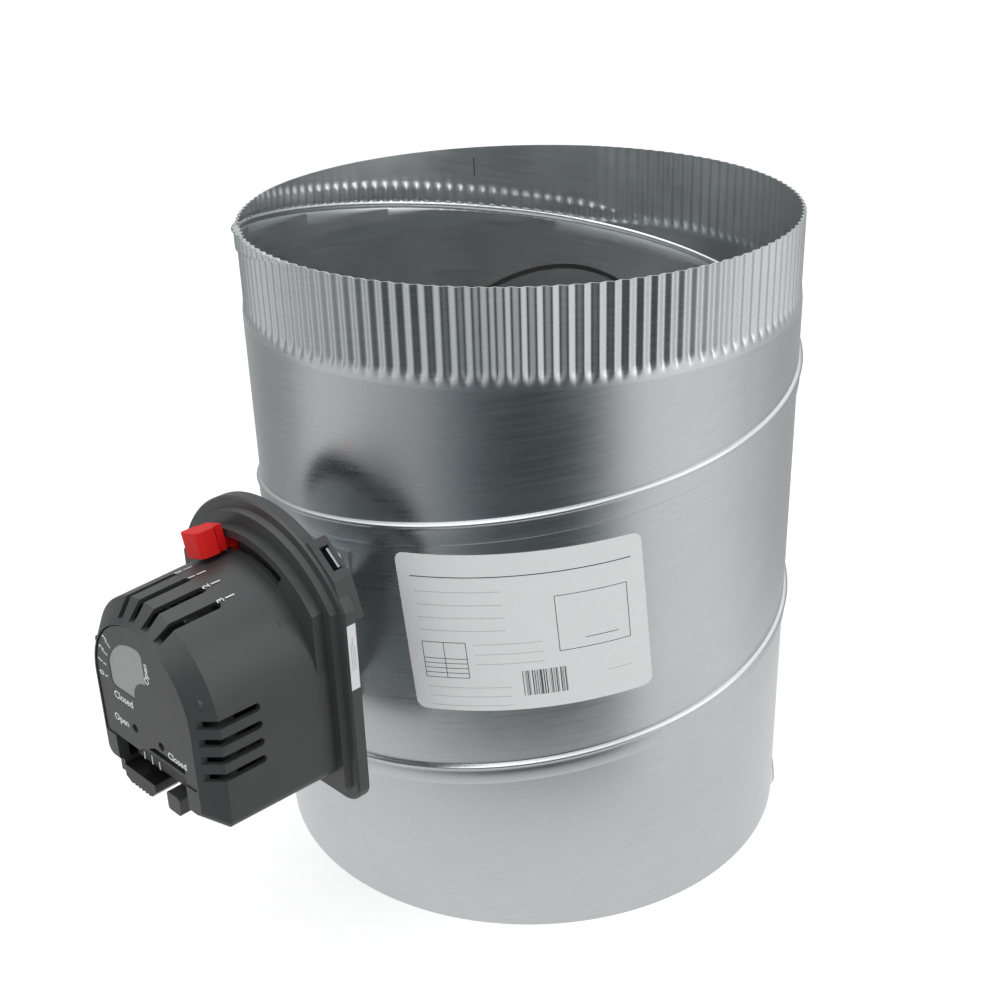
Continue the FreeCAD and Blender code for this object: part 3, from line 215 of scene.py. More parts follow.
class Nodes:
    """A short way to add and join shader nodes."""

    def __init__(self, tree):
        self.tree = tree

    def add(self, kind):
        return self.tree.nodes.new(kind)

    def join(self, source, target):
        self.tree.links.new(source, target)

    def put(self, value, socket):
        """Joins an output to a socket, or sets the socket to a number or a colour."""
        if isinstance(value, bpy.types.NodeSocket):
            self.join(value, socket)
        elif isinstance(value, tuple) and socket.type == "RGBA" and len(value) == 3:
            socket.default_value = (*value, 1.0)
        else:
            socket.default_value = value

    def coordinates(self, scale=(1, 1, 1)):
        place = self.add("ShaderNodeTexCoord")
        mapping = self.add("ShaderNodeMapping")
        mapping.inputs["Scale"].default_value = scale
        self.join(place.outputs["Object"], mapping.inputs["Vector"])
        return mapping.outputs["Vector"]

    def parts(self, vector):
        node = self.add("ShaderNodeSeparateXYZ")
        self.join(vector, node.inputs[0])
        return node.outputs

    def combined(self, x, y, z):
        node = self.add("ShaderNodeCombineXYZ")
        for socket, value in zip(node.inputs, (x, y, z)):
            self.put(value, socket)
        return node.outputs[0]

    def noise(self, vector, scale, detail=4.0, roughness=0.55):
        node = self.add("ShaderNodeTexNoise")
        node.inputs["Scale"].default_value = scale
        node.inputs["Detail"].default_value = detail
        node.inputs["Roughness"].default_value = roughness
        self.join(vector, node.inputs["Vector"])
        return node.outputs["Fac"]

    def ramp(self, value, low, high, low_at=0.3, high_at=0.7):
        """Maps a value to a range of numbers with soft ends."""
        node = self.add("ShaderNodeMapRange")
        node.interpolation_type = "SMOOTHSTEP"
        for index, number in enumerate((low_at, high_at, low, high)):
            node.inputs[index + 1].default_value = number
        self.join(value, node.inputs[0])
        return node.outputs[0]

    def math(self, operation, *values):
        node = self.add("ShaderNodeMath")
        node.operation = operation
        for index, value in enumerate(values):
            self.put(value, node.inputs[index])
        return node.outputs[0]

    def blend(self, factor, first, second):
        node = self.add("ShaderNodeMix")
        node.data_type = "RGBA"
        for socket, value in ((node.inputs[0], factor), (node.inputs[6], first), (node.inputs[7], second)):
            self.put(value, socket)
        return node.outputs[2]

    def curve(self, value, places):
        """A smooth curve through places, for a value from 0 to 1."""
        node = self.add("ShaderNodeFloatCurve")
        self.join(value, node.inputs["Value"])
        points = node.mapping.curves[0].points
        points[0].location, points[1].location = places[0], places[-1]
        for x, y in places[1:-1]:
            points.new(x, y)
        node.mapping.update()
        return node.outputs[0]

    def inside(self, x, y, left, low, right, high):
        """1 inside a rectangle, and 0 outside."""
        tests = [self.math("GREATER_THAN", x, left), self.math("LESS_THAN", x, right),
                 self.math("GREATER_THAN", y, low), self.math("LESS_THAN", y, high)]
        first, second = self.math("MULTIPLY", *tests[:2]), self.math("MULTIPLY", *tests[2:])
        return self.math("MULTIPLY", first, second)

    def drawn(self, x, y, lines, width):
        """1 on any of the straight lines (x0, y0, x1, y1) of a width."""
        half, total = width / 2, None
        for x0, y0, x1, y1 in lines:
            mark = self.inside(x, y, x0 - half, y0 - half, x1 + half, y1 + half)
            total = mark if total is None else self.math("MAXIMUM", total, mark)
        return total

    def inner_side(self):
        """1 where a surface faces the duct's axis, and 0 where it faces away."""
        normal = self.add("ShaderNodeNewGeometry").outputs["Normal"]
        node = self.add("ShaderNodeVectorMath")
        node.operation = "DOT_PRODUCT"
        self.join(self.coordinates((1, 1, 0)), node.inputs[0])
        self.join(normal, node.inputs[1])
        return self.math("LESS_THAN", node.outputs["Value"], 0.0)


class Finish(Nodes):
    """A material's nodes with its main shader."""

    def __init__(self, name, metallic=0.0):
        self.material = bpy.data.materials.new(name)
        self.material.use_nodes = True
        super().__init__(self.material.node_tree)
        self.shader = self.tree.nodes["Principled BSDF"]
        self.shader.inputs["Metallic"].default_value = metallic

    def colour(self, value):
        self.put(value, self.shader.inputs["Base Color"])

    def rough(self, value):
        self.put(value, self.shader.inputs["Roughness"])

    def bump(self, height, strength, distance):
        node = self.add("ShaderNodeBump")
        node.inputs["Strength"].default_value = strength
        node.inputs["Distance"].default_value = distance
        self.join(height, node.inputs["Height"])
        self.join(node.outputs["Normal"], self.shader.inputs["Normal"])


def shade(colour, factor):
    return tuple(min(channel * factor, 1.0) for channel in colour[:3])


def round_the_duct(nodes):
    """The angle about the duct in radians, and the height in metres."""
    x, y, height = nodes.parts(nodes.coordinates())
    return nodes.math("ARCTAN2", y, x), height


# Noise scales of the sheet's rolled streaks, clouds and grain, and the dots' radians to the metre
ROLLED, CLOUDS, GRAIN, DOTS = 620.0, 24.0, 1500.0, 5200.0
INK_BLACK = (0.004, 0.004, 0.005)


def galvanised(name, colour, roughness, slits=()):
    """Zinc-coated sheet: streaks rolled along the strip, soft clouds and a fine spangle, with narrow dark
    slits where they are asked for. The side that faces the duct's axis is a little duller, and its colour is
    painted paler as painted light for the light that bounces about inside the duct."""
    nodes = Finish(name, 1.0)
    angle, height = round_the_duct(nodes)
    around = nodes.math("MULTIPLY", angle, WALL_RADIUS * MM)
    rise = nodes.math("MULTIPLY", around, -SEAM_PITCH / (2 * math.pi * WALL_RADIUS))
    strip = nodes.math("ADD", height, rise)
    rolled = nodes.noise(nodes.combined(nodes.math("MULTIPLY", around, 0.05), strip, 0.0), ROLLED, 3.0)
    plain = nodes.coordinates()
    clouds = nodes.noise(plain, CLOUDS, 3.0)
    grain = nodes.noise(plain, GRAIN, 2.0, 0.6)
    dots = nodes.math("MULTIPLY", nodes.math("SINE", nodes.math("MULTIPLY", around, DOTS)),
                      nodes.math("SINE", nodes.math("MULTIPLY", height, DOTS)))
    tone = nodes.math("ADD", nodes.math("MULTIPLY", rolled, 0.5), nodes.math("MULTIPLY", clouds, 0.5))
    base = nodes.blend(nodes.ramp(tone, 0.0, 1.0, 0.3, 0.7), shade(colour, 0.93), shade(colour, 1.05))
    base = nodes.blend(nodes.ramp(grain, 0.0, 0.5, 0.35, 0.65), base, shade(colour, 0.86))
    base = nodes.blend(nodes.ramp(dots, 0.0, 0.22, 0.1, 0.9), base, shade(colour, 1.25))
    within = nodes.inner_side()
    # Painted light: the side facing the duct's axis is made paler, standing in for light that bounces about
    # inside the duct
    base = nodes.blend(nodes.math("MULTIPLY", within, 0.2), base, shade(colour, 1.4))
    for degrees, half_width, low, high in slits:
        turn = math.radians((degrees + 180) % 360 - 180)
        side = half_width / WALL_RADIUS
        mark = nodes.inside(angle, height, turn - side, low * MM, turn + side, high * MM)
        base = nodes.blend(mark, base, INK_BLACK)
    nodes.colour(base)
    rough = nodes.ramp(tone, roughness - 0.03, roughness + 0.06, 0.3, 0.7)
    rough = nodes.math("ADD", rough, nodes.math("MULTIPLY", grain, 0.05))
    nodes.rough(nodes.math("ADD", rough, nodes.math("MULTIPLY", within, 0.06)))
    relief = nodes.math("ADD", nodes.math("MULTIPLY", rolled, 0.5), nodes.math("MULTIPLY", clouds, 4.0))
    relief = nodes.math("ADD", relief, nodes.math("MULTIPLY", dots, 0.10))
    nodes.bump(relief, 0.05, 0.0004)
    return nodes.material


def turned_steel(name, colour, roughness):
    """Turned or plated steel with a fine directional grain."""
    nodes = Finish(name, 1.0)
    along = nodes.noise(nodes.coordinates((1, 0.05, 1)), 2500.0, 3.0)
    clouds = nodes.noise(nodes.coordinates(), 90.0, 3.0)
    tone = nodes.math("ADD", nodes.math("MULTIPLY", along, 0.5), nodes.math("MULTIPLY", clouds, 0.5))
    nodes.colour(nodes.blend(nodes.ramp(tone, 0.0, 1.0), shade(colour, 0.82), shade(colour, 1.08)))
    nodes.rough(nodes.ramp(tone, roughness - 0.06, roughness + 0.1))
    nodes.bump(along, 0.1, 0.0001)
    return nodes.material


def moulded(name, colour, roughness, grain=1500.0, depth=0.25, gloss=0.5):
    """Moulded plastic or rubber: an even colour with faint clouds and a spark-eroded grain."""
    nodes = Finish(name)
    plain = nodes.coordinates()
    fine = nodes.noise(plain, grain, 3.0, 0.6)
    clouds = nodes.noise(plain, 60.0, 3.0)
    base = nodes.blend(nodes.ramp(clouds, 0.0, 1.0), shade(colour, 0.93), shade(colour, 1.07))
    nodes.colour(nodes.blend(nodes.ramp(fine, 0.0, 0.5), base, shade(colour, 1.2)))
    nodes.rough(nodes.ramp(fine, roughness - 0.05, roughness + 0.07))
    nodes.bump(fine, depth, 0.00012)
    nodes.put(gloss, nodes.shader.inputs["Specular IOR Level"])
    return nodes.material


def lens(name, colour):
    """A small dark indicator lens with a clear gloss over a speckled core."""
    nodes = Finish(name)
    core = nodes.noise(nodes.coordinates(), 900.0, 2.0)
    nodes.colour(nodes.blend(nodes.ramp(core, 0.0, 1.0), shade(colour, 0.6), colour))
    nodes.rough(nodes.ramp(core, 0.08, 0.16))
    return nodes.material


def frosted(name, colour):
    """A frosted window: mid grey, with a fine haze and a soft gloss."""
    nodes = Finish(name)
    haze = nodes.noise(nodes.coordinates(), 1800.0, 3.0)
    nodes.colour(nodes.blend(nodes.ramp(haze, 0.0, 1.0), shade(colour, 0.95), shade(colour, 1.04)))
    nodes.rough(nodes.ramp(haze, 0.36, 0.46))
    nodes.bump(haze, 0.08, 0.0001)
    return nodes.material


def ink(name, colour):
    """White pad-printed ink with a slightly broken surface."""
    nodes = Finish(name)
    broken = nodes.noise(nodes.coordinates(), 2600.0, 3.0, 0.6)
    nodes.colour(nodes.blend(nodes.ramp(broken, 0.0, 1.0), shade(colour, 0.9), colour))
    nodes.rough(nodes.ramp(broken, 0.5, 0.62))
    return nodes.material


# The duct label's place, its lines as x0, y0, x1, y1 and its block of bars, in the label's own turned
# millimetres

LABEL_ANGLE = -46.6
LABEL_HEIGHT = 157.0
LABEL_TILT = 5.0
LABEL_HEADING = [(-46.5, 27.1, 46.5, 27.1)]
LABEL_BOX = [(13.3, -10.6, 13.3, 15.8), (44.0, -10.6, 44.0, 15.8), (13.3, 15.8, 44.0, 15.8),
             (13.3, -10.6, 44.0, -10.6), (24.8, -6.0, 38.9, -6.0)]
LABEL_TABLE = ([(-45.5, y, -26.2, y) for y in (-3.9, -11.8, -14.1, -16.4, -18.8, -21.1)]
               + [(x, -21.1, x, -3.9) for x in (-45.5, -35.9, -26.2)])
LABEL_RULES = ([(-45.6, y, -8.3, y) for y in (20.2, 14.0, 7.9, 1.8)]
               + [(-22.5, y, 6.4, y) for y in (-4.8, -9.6, -14.4)]
               + [(-45.3, y, -9.1, y) for y in (-26.0, -30.5, -35.0)] + [(33.0, -24.4, 44.0, -24.4)])
LABEL_BARS = (-3.8, -30.7, 15.0, -18.4)
HEAVY, FINE, FAINT = 0.45, 0.32, 0.28
# The side label's writing lines, as shares of its width and height: where each stands, its foot and its top
SIDE_LINES = ((0.3, 0.30, 0.72), (0.5, 0.30, 0.80), (0.7, 0.30, 0.66))


def label_paper(name, colour, dark, upright=False):
    """Paper with its rules. The duct's label has a heading rule, a write-in box, a small table, writing
    lines and a block of bars. The upright side label has writing lines only."""
    nodes = Finish(name)
    fibres = nodes.noise(nodes.coordinates(), 700.0, 4.0)
    base = nodes.blend(nodes.ramp(fibres, 0.0, 1.0), shade(colour, 0.96), colour)
    if upright:
        low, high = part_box("side_label")
        _, y, z = nodes.parts(nodes.coordinates())
        lines = [(low.y + (high.y - low.y) * share, low.z + (high.z - low.z) * foot,
                  low.y + (high.y - low.y) * share, low.z + (high.z - low.z) * top)
                 for share, foot, top in SIDE_LINES]
        base = nodes.blend(nodes.math("MULTIPLY", nodes.drawn(y, z, lines, 0.25 * MM), 0.6), base, dark)
    else:
        angle, height = round_the_duct(nodes)
        turn = nodes.math("SUBTRACT", angle, math.radians(LABEL_ANGLE))
        around = nodes.math("MULTIPLY", turn, WALL_RADIUS)
        above = nodes.math("SUBTRACT", nodes.math("MULTIPLY", height, 1 / MM), LABEL_HEIGHT)
        cosine, sine = math.cos(math.radians(LABEL_TILT)), math.sin(math.radians(LABEL_TILT))
        x = nodes.math("ADD", nodes.math("MULTIPLY", around, cosine), nodes.math("MULTIPLY", above, sine))
        y = nodes.math("SUBTRACT", nodes.math("MULTIPLY", above, cosine),
                       nodes.math("MULTIPLY", around, sine))
        heavy = nodes.drawn(x, y, LABEL_HEADING, HEAVY)
        fine = nodes.drawn(x, y, LABEL_BOX + LABEL_TABLE, FINE)
        faint = nodes.math("MULTIPLY", nodes.drawn(x, y, LABEL_RULES, FAINT), 0.45)
        bars = nodes.noise(nodes.combined(x, 0.0, 0.0), 2.1, 1.0, 0.4)
        bars = nodes.math("MULTIPLY", nodes.math("GREATER_THAN", bars, 0.5), nodes.inside(x, y, *LABEL_BARS))
        marks = nodes.math("MAXIMUM", nodes.math("MAXIMUM", heavy, fine), nodes.math("MAXIMUM", faint, bars))
        base = nodes.blend(marks, base, dark)
    nodes.colour(base)
    nodes.rough(nodes.ramp(fibres, 0.40, 0.50))
    nodes.bump(fibres, 0.04, 0.0001)
    return nodes.material


# Duct surfaces

# Quads lower than this, in millimetres, are dropped
FLAT = 1e-6


def seam_phase(angle, height):
    """Height above the nearest ridge of the helix z = start + pitch a / 2 pi, from half a pitch below to
    half above."""
    ridge = SEAM_START + SEAM_PITCH * angle / (2 * np.pi)
    return (height - ridge + SEAM_PITCH / 2) % SEAM_PITCH - SEAM_PITCH / 2


def helical_wall(radius, heights, rises, columns, top):
    """A tube whose rows follow the seam's helix. r = radius + the rise that the height above the ridge
    gives. Rows that pass an end are held at it, and the quads that this leaves with no height are
    dropped."""
    plain = np.linspace(heights[-1] + STRIP_MARGIN, heights[0] + SEAM_PITCH - STRIP_MARGIN, STRIP_ROWS)
    pattern, pattern_rises = np.concatenate([heights, plain]), np.concatenate([rises, 0 * plain])
    turns = int(np.ceil(top / SEAM_PITCH)) + 2
    offsets = np.concatenate([pattern + SEAM_PITCH * (turn - 1) for turn in range(-1, turns)]) + SEAM_START
    angle = np.arange(columns) * 2 * np.pi / columns
    height = np.clip(offsets[:, None] + SEAM_PITCH * angle[None, :] / (2 * np.pi), 0.0, top)
    order = np.argsort(pattern)
    phase = seam_phase(angle[None, :], height)
    rise = np.interp(phase.ravel(), pattern[order], pattern_rises[order], period=SEAM_PITCH)
    points = ring_points(radius + rise.reshape(phase.shape), np.broadcast_to(angle, height.shape), height)
    return points.reshape(-1, 3), helix_quads(points, len(pattern))


def helix_quads(points, shift):
    """Quads of a closed grid whose last column joins its first one some rows higher, without those of no
    height."""
    rows, columns = points.shape[:2]
    row = np.arange(rows - shift - 1)
    last, first = row * columns + columns - 1, (row + shift) * columns
    closing = np.stack([last, first, first + columns, last + columns], axis=1)
    corners = np.concatenate([grid_quads(rows, columns), closing])
    level = points.reshape(-1, 3)[corners][:, :, 2]
    return corners[(level.max(axis=1) - level.min(axis=1)) > FLAT]


def end_ring(inner, outer, upward):
    """The flat ring that closes a sheet's end between two lines of points."""
    quads = grid_quads(2, len(outer), closed=True)
    return np.concatenate([outer, inner]), [quads if upward else quads[:, ::-1]]


def plain_wall():
    """The plain tube: its outside with the seam, its inside with the seam's fold, and its two end rings."""
    outer, outer_quads = helical_wall(WALL_RADIUS, SEAM_HEIGHTS, SEAM_RISES, WALL_COLUMNS, PLAIN_TOP)
    inner, inner_quads = helical_wall(WALL_RADIUS - SHEET, INNER_HEIGHTS, -INNER_RISES, WALL_COLUMNS,
                                      PLAIN_TOP)
    shapes = [(outer, [outer_quads]), (inner, [inner_quads[:, ::-1]])]
    angle = np.arange(WALL_COLUMNS) * 2 * np.pi / WALL_COLUMNS
    for height, upward in ((0.0, False), (PLAIN_TOP, True)):
        lines = [ring_points(np.full(WALL_COLUMNS, radius), angle, height)
                 for radius in (WALL_RADIUS - SHEET, WALL_RADIUS)]
        shapes.append(end_ring(*lines, upward))
    return merged(shapes)


def crimp_share(angle, height, foot):
    """How deep the crimps are, from 0 to 1. They run from their foot to the rim, but where the seam's last
    turn leaves the duct they shrink to a row of short bumps on the seam's upper side."""
    turn = np.degrees(angle)
    above = height - (LAST_RIDGE + SEAM_PITCH * turn / 360)
    full = foot * np.maximum(1 - smooth_step(turn, CRIMPS_END), smooth_step(turn, CRIMPS_RETURN))
    along = smooth_step(turn, BUMPS_BEGIN) * (1 - smooth_step(turn, BUMPS_END))
    bump = smooth_step(above, BUMPS_LOW) * (1 - smooth_step(above, BUMPS_HIGH)) * along
    return np.maximum(full, bump * smooth_step(height - PLAIN_TOP, BUMPS_FOOT))


def crimp_radius(angle, height):
    """Radius of the crimped end's outside. Round the duct the crimps are a wave with straight flanks and
    round tops, (1 - arcsin(q cos n a) / arcsin(q)) / 2 deep. Upwards they start as a soft slope, and the
    crests step in too."""
    wave = CRIMP_ROUNDNESS * np.cos(angle * CRIMP_COUNT)
    valley = (1 - np.arcsin(wave) / math.asin(CRIMP_ROUNDNESS)) / 2
    foot = smooth_step(height - PLAIN_TOP - VALLEY_LEAD * (1 - valley), CRIMP_FOOT)
    crest = smooth_step(height - PLAIN_TOP, CREST_SLOPE)
    return WALL_RADIUS - CRIMP_DROP * crest - CRIMP_DEPTH * valley * crimp_share(angle, height, foot)


def crimped_wall():
    """A closed sheet between the crimped outside and inside. Its rows are the band's own and the seam's,
    sorted by height in each column, so that the seam's fold and the bumps above it cross the band. The
    seam's rows lie at the foot in the first column and at the top in the last one."""
    columns = CRIMP_COUNT * CRIMP_COLUMNS
    angle = np.arange(columns) * 2 * np.pi / columns
    ridge = LAST_RIDGE + SEAM_PITCH * angle / (2 * np.pi)
    band = np.repeat(PLAIN_TOP + BAND_ROWS[:, None], columns, axis=1)
    shapes, rims = [], []
    for heights, rises, inward in ((SEAM_HEIGHTS, SEAM_RISES, 0.0), (INNER_HEIGHTS, -INNER_RISES, SHEET)):
        follow = np.concatenate([heights, BUMP_ROWS])[:, None] + ridge
        height = np.sort(np.concatenate([band, np.clip(follow, PLAIN_TOP, DUCT_TOP)]), axis=0)
        turn = np.broadcast_to(angle, height.shape)
        above = height - ridge
        radius = crimp_radius(turn, height) - inward + np.interp(above, heights, rises)
        points = ring_points(radius, turn, height)
        quads = helix_quads(points, len(follow))
        shapes.append((points.reshape(-1, 3), [quads[:, ::-1] if inward else quads]))
        rims.append((points[0], points[-1]))
    (low_outer, high_outer), (low_inner, high_inner) = rims
    shapes += [end_ring(low_inner, low_outer, False), end_ring(high_inner, high_outer, True)]
    return merged(shapes)


# Prints on the face in the shaft's frame: text, middle across and up, turn in degrees and a word's length,
# and ticks from one point to another. Digits on the round top have an angle from straight up.

FACE_WORDS = [("Open", 6.6, 15.7, 88.0, 9.6), ("Closed", -15.1, -5.2, 0.0, 13.7),
              ("Open", -19.6, -17.7, 0.0, 10.4), ("Closed", 20.2, -18.7, 0.0, 12.8)]
FACE_DIGITS = [("0", -29.7, 1.5, 87.1), ("1", -29.2, 7.9, 74.9), ("2", -26.8, 14.7, 61.3),
               ("3", -22.7, 20.5, 47.9)]
FACE_TICKS = [(-27.2, 1.1, -25.2, 1.4), (-27.0, 7.2, -24.8, 7.1), (-25.3, 13.3, -22.5, 12.6),
              (-21.5, 18.9, -19.2, 17.4), (-5.1, -26.3, -5.3, -29.9), (0.5, -25.6, 0.4, -30.0),
              (5.7, -26.3, 5.8, -30.1)]
TOP_DIGITS = [("0", -14.0), ("1", -1.5), ("2", 11.1), ("3", 23.6)]
DIGIT_HEIGHT = 3.3
# How far out the plate's front, the top's digits and the two ends of its ticks are
PLATE_OUT, DIGITS_OUT, TICKS_FROM, TICKS_TO = 222.7, 192.2, 185.4, 189.7
TOP_RADIUS = 44.0
INK_THICKNESS = 0.04


def word_points(text, size, by_height=False):
    """A word's flat mesh as points and faces, centred, scaled to a length or a height, and a little
    thick."""
    curve = bpy.data.curves.new("word", "FONT")
    curve.body = text
    curve.extrude = 0.5
    curve.offset = 0.015
    curve.resolution_u = 3
    thing = bpy.data.objects.new("word", curve)
    bpy.context.scene.collection.objects.link(thing)
    mesh = bpy.data.meshes.new_from_object(thing.evaluated_get(bpy.context.evaluated_depsgraph_get()))
    bpy.data.objects.remove(thing)
    bpy.data.curves.remove(curve)
    points = np.empty(len(mesh.vertices) * 3)
    mesh.vertices.foreach_get("co", points)
    points = points.reshape(-1, 3)
    mesh.calc_loop_triangles()
    faces = np.empty(len(mesh.loop_triangles) * 3, np.int32)
    mesh.loop_triangles.foreach_get("vertices", faces)
    bpy.data.meshes.remove(mesh)
    low, high = points.min(axis=0), points.max(axis=0)
    scale = size / (high[1] - low[1] if by_height else high[0] - low[0])
    points = (points - (low + high) / 2) * (scale, scale, INK_THICKNESS)
    return points, [faces.reshape(-1, 3)]


def bar_points(x0, y0, x1, y1, width=0.55):
    """A short thin bar between two points, as a box of eight corners."""
    along = np.array([x1 - x0, y1 - y0])
    side = np.array([-along[1], along[0]]) / np.linalg.norm(along) * width / 2
    flat = np.array([(x0, y0) - side, (x1, y1) - side, (x1, y1) + side, (x0, y0) + side])
    half = INK_THICKNESS / 2
    points = np.concatenate([np.column_stack([flat, np.full(4, level)]) for level in (-half, half)])
    faces = np.array([(3, 2, 1, 0), (4, 5, 6, 7), (0, 1, 5, 4), (1, 2, 6, 5), (2, 3, 7, 6), (3, 0, 4, 7)])
    return points, [faces]


def turned_flat(points, degrees):
    """Points turned in their own flat plane, counter-clockwise."""
    cosine, sine = math.cos(math.radians(degrees)), math.sin(math.radians(degrees))
    return points @ np.array([(cosine, sine, 0), (-sine, cosine, 0), (0, 0, 1)])


def face_print():
    """Words, digits and ticks that stand a hair's breadth off the face plate."""
    shapes = []
    for text, across, up, turn, length in FACE_WORDS:
        points, faces = word_points(text, length)
        shapes.append((turned_flat(points, turn) + (across, up, 0), faces))
    for text, across, up, turn in FACE_DIGITS:
        points, faces = word_points(text, DIGIT_HEIGHT, True)
        shapes.append((turned_flat(points, turn) + (across, up, 0), faces))
    shapes += [bar_points(*tick) for tick in FACE_TICKS]
    points, faces = merged(shapes)
    return to_row(points[:, 0], points[:, 1], PLATE_OUT + INK_THICKNESS / 2 + points[:, 2]), faces


def top_print():
    """Digits with their ticks on the housing's round top, bent to it: r = 44, and the angle is x / r."""
    shapes = []
    for text, degrees in TOP_DIGITS:
        points, faces = word_points(text, DIGIT_HEIGHT, True)
        digit, tick = (points + (0, DIGITS_OUT, 0), faces), bar_points(0, TICKS_FROM, 0, TICKS_TO, 0.7)
        for some, some_faces in (digit, tick):
            angle = math.radians(degrees) - some[:, 0] / TOP_RADIUS
            radius = TOP_RADIUS + INK_THICKNESS / 2 + some[:, 2]
            shapes.append((to_row(radius * np.sin(angle), radius * np.cos(angle), some[:, 1]), some_faces))
    return merged(shapes)


# Fasteners: the ways that they face, and the screws' places across and up in the shaft's frame

BACK, FRONT = (0, 1, 0), (0, -1, 0)
BRACKET_SCREWS = [(across, up) for across in (-32, 32) for up in (8, -36)]
HOUSING_SCREWS = [(-30, 26), (30, 26), (-38.5, -41), (38.5, -41)]
TERMINAL_SCREWS = [(across, -29.5) for across in (-13.5, -4.5, 4.5, 13.5)]
# How far out each kind of screw seats, and the circle and half thickness of the blade at its rivets
WEB_BACK, BASE_BACK, TERMINAL_SEAT = 151.9, 157.4, 212.5
RIVET_CIRCLE, BLADE_FACE = 111, 2.0
# Where a shaft rivet's rim meets the round channel, from the shaft's middle, and how far out along the
# shaft it is
CHANNEL_SIDE, SHAFT_RIVET_OUT = 5.4, 78
# The bracket's ear rivets: degrees from the front, height from the shaft, and radius outside and inside the
# wall
EAR_ANGLE, EAR_HEIGHT, EAR_OUTSIDE, EAR_INSIDE = 5, 31.2, 128.9, 127.0


def screws(places, out, direction, radius, height, recess):
    """A screw head at each place."""
    head = pan_head(radius, height, recess)
    return merged([stood_on(head, to_row(across, up, out), direction) for across, up in places])


def rim_rivets():
    """Eight rivets through the blade's two plates, with a head on each side."""
    head = pan_head(3.2, 1.0)
    turns = np.radians(22.5 + 45 * np.arange(8))
    return merged([stood_on(head, to_row(side * BLADE_FACE, RIVET_CIRCLE * math.cos(turn),
                                         RIVET_CIRCLE * math.sin(turn)), (side, 0, 0))
                   for side in (-1, 1) for turn in turns])


def shaft_rivets():
    """Two rivets through the shaft and the channels that hold it, with heads on both crests."""
    head = pan_head(4.8, 2.2)
    return merged([stood_on(head, to_row(side * CHANNEL_SIDE, 0, out), (side, 0, 0))
                   for side in (-1, 1) for out in (-SHAFT_RIVET_OUT, SHAFT_RIVET_OUT)])


def bracket_rivets():
    """Four rivets that hold the bracket's ears to the duct, with a tail inside it."""
    shapes = []
    for side in (-1, 1):
        angle = math.radians(-90 + side * EAR_ANGLE)
        outward = np.array([math.cos(angle), math.sin(angle), 0])
        for up in (-EAR_HEIGHT, EAR_HEIGHT):
            middle = (0, 0, SHAFT_HEIGHT + up)
            shapes.append(stood_on(pan_head(3.2, 1.0), middle + outward * EAR_OUTSIDE, outward))
            shapes.append(stood_on(pan_head(2.2, 0.8), middle + outward * EAR_INSIDE, -outward))
    return merged(shapes)


class DamperSettings(bpy.types.PropertyGroup):
    """Sizes and colours that a user would change."""

    metal: FloatVectorProperty(name="Sheet metal", description="Colour of the galvanised sheet",
                               subtype="COLOR", size=3, min=0, max=1, default=(0.585, 0.612, 0.622))
    metal_roughness: FloatProperty(name="Sheet roughness", description="Roughness of the galvanised sheet",
                                   default=0.25, min=0.05, max=1.0)
    plastic: FloatVectorProperty(name="Housing", description="Colour of the actuator's plastic",
                                 subtype="COLOR", size=3, min=0, max=1, default=(0.041, 0.042, 0.043))
    knob: FloatVectorProperty(name="Knob", description="Colour of the range stop and the pointer",
                              subtype="COLOR", size=3, min=0, max=1, default=(0.62, 0.003, 0.002))
    window: FloatVectorProperty(name="Window", description="Colour of the frosted window",
                                subtype="COLOR", size=3, min=0, max=1, default=(0.27, 0.285, 0.28))
    paper: FloatVectorProperty(name="Label", description="Colour of the labels",
                               subtype="COLOR", size=3, min=0, max=1, default=(0.72, 0.725, 0.73))
    print_colour: FloatVectorProperty(name="Print", description="Colour of the print on the actuator",
                                      subtype="COLOR", size=3, min=0, max=1, default=(0.74, 0.76, 0.76))


class StageSettings(bpy.types.PropertyGroup):
    """The camera, the floor and the light."""

    distance: FloatProperty(name="Distance", description="From the camera to the duct's middle",
                            default=0.7048, unit="LENGTH")
    elevation: FloatProperty(name="Elevation", description="Camera height angle",
                             default=math.radians(26.011), subtype="ANGLE")
    azimuth: FloatProperty(name="Azimuth", description="Camera direction about the duct",
                           default=math.radians(43.97), subtype="ANGLE")
    roll: FloatProperty(name="Roll", description="Camera roll", default=math.radians(-1.265),
                        subtype="ANGLE")
    pan: FloatProperty(name="Pan", description="Camera turn to the side", default=math.radians(-1.050),
                       subtype="ANGLE")
    tilt: FloatProperty(name="Tilt", description="Camera turn upwards", default=math.radians(0.326),
                        subtype="ANGLE")
    lens: FloatProperty(name="Lens", description="Focal length in millimetres", default=51.02)
    key_power: FloatProperty(name="Key", description="Power of the main lamp in watts", default=7.0)
    room: FloatProperty(name="Room light", description="Strength of the plain light from all round",
                        default=0.75)
    floor: FloatVectorProperty(name="Floor", description="Colour of the floor",
                               subtype="COLOR", size=3, min=0, max=1, default=(0.88, 0.88, 0.88))


class DAMPER_OT_duct(bpy.types.Operator):
    """Builds the duct's plain wall with its seam, and its crimped end"""

    bl_idname = "damper.duct"
    bl_label = "Duct"

    def execute(self, context):
        look = context.scene.damper
        metal = galvanised("galvanised_sheet", tuple(look.metal), look.metal_roughness)
        # Painted light: the crimped end is the wall's own sheet made 1.12 times paler, so that it reads
        # brighter
        end_metal = galvanised("crimped_sheet", shade(look.metal, 1.12), look.metal_roughness, SLITS)
        wall = mesh_piece("duct_wall", *plain_wall(), STATIC, "galvanised", metal)
        mesh_piece("crimped_end", *crimped_wall(), STATIC, "galvanised", end_metal, 50.0)
        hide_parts("spiral_duct")
        return {"FINISHED"}


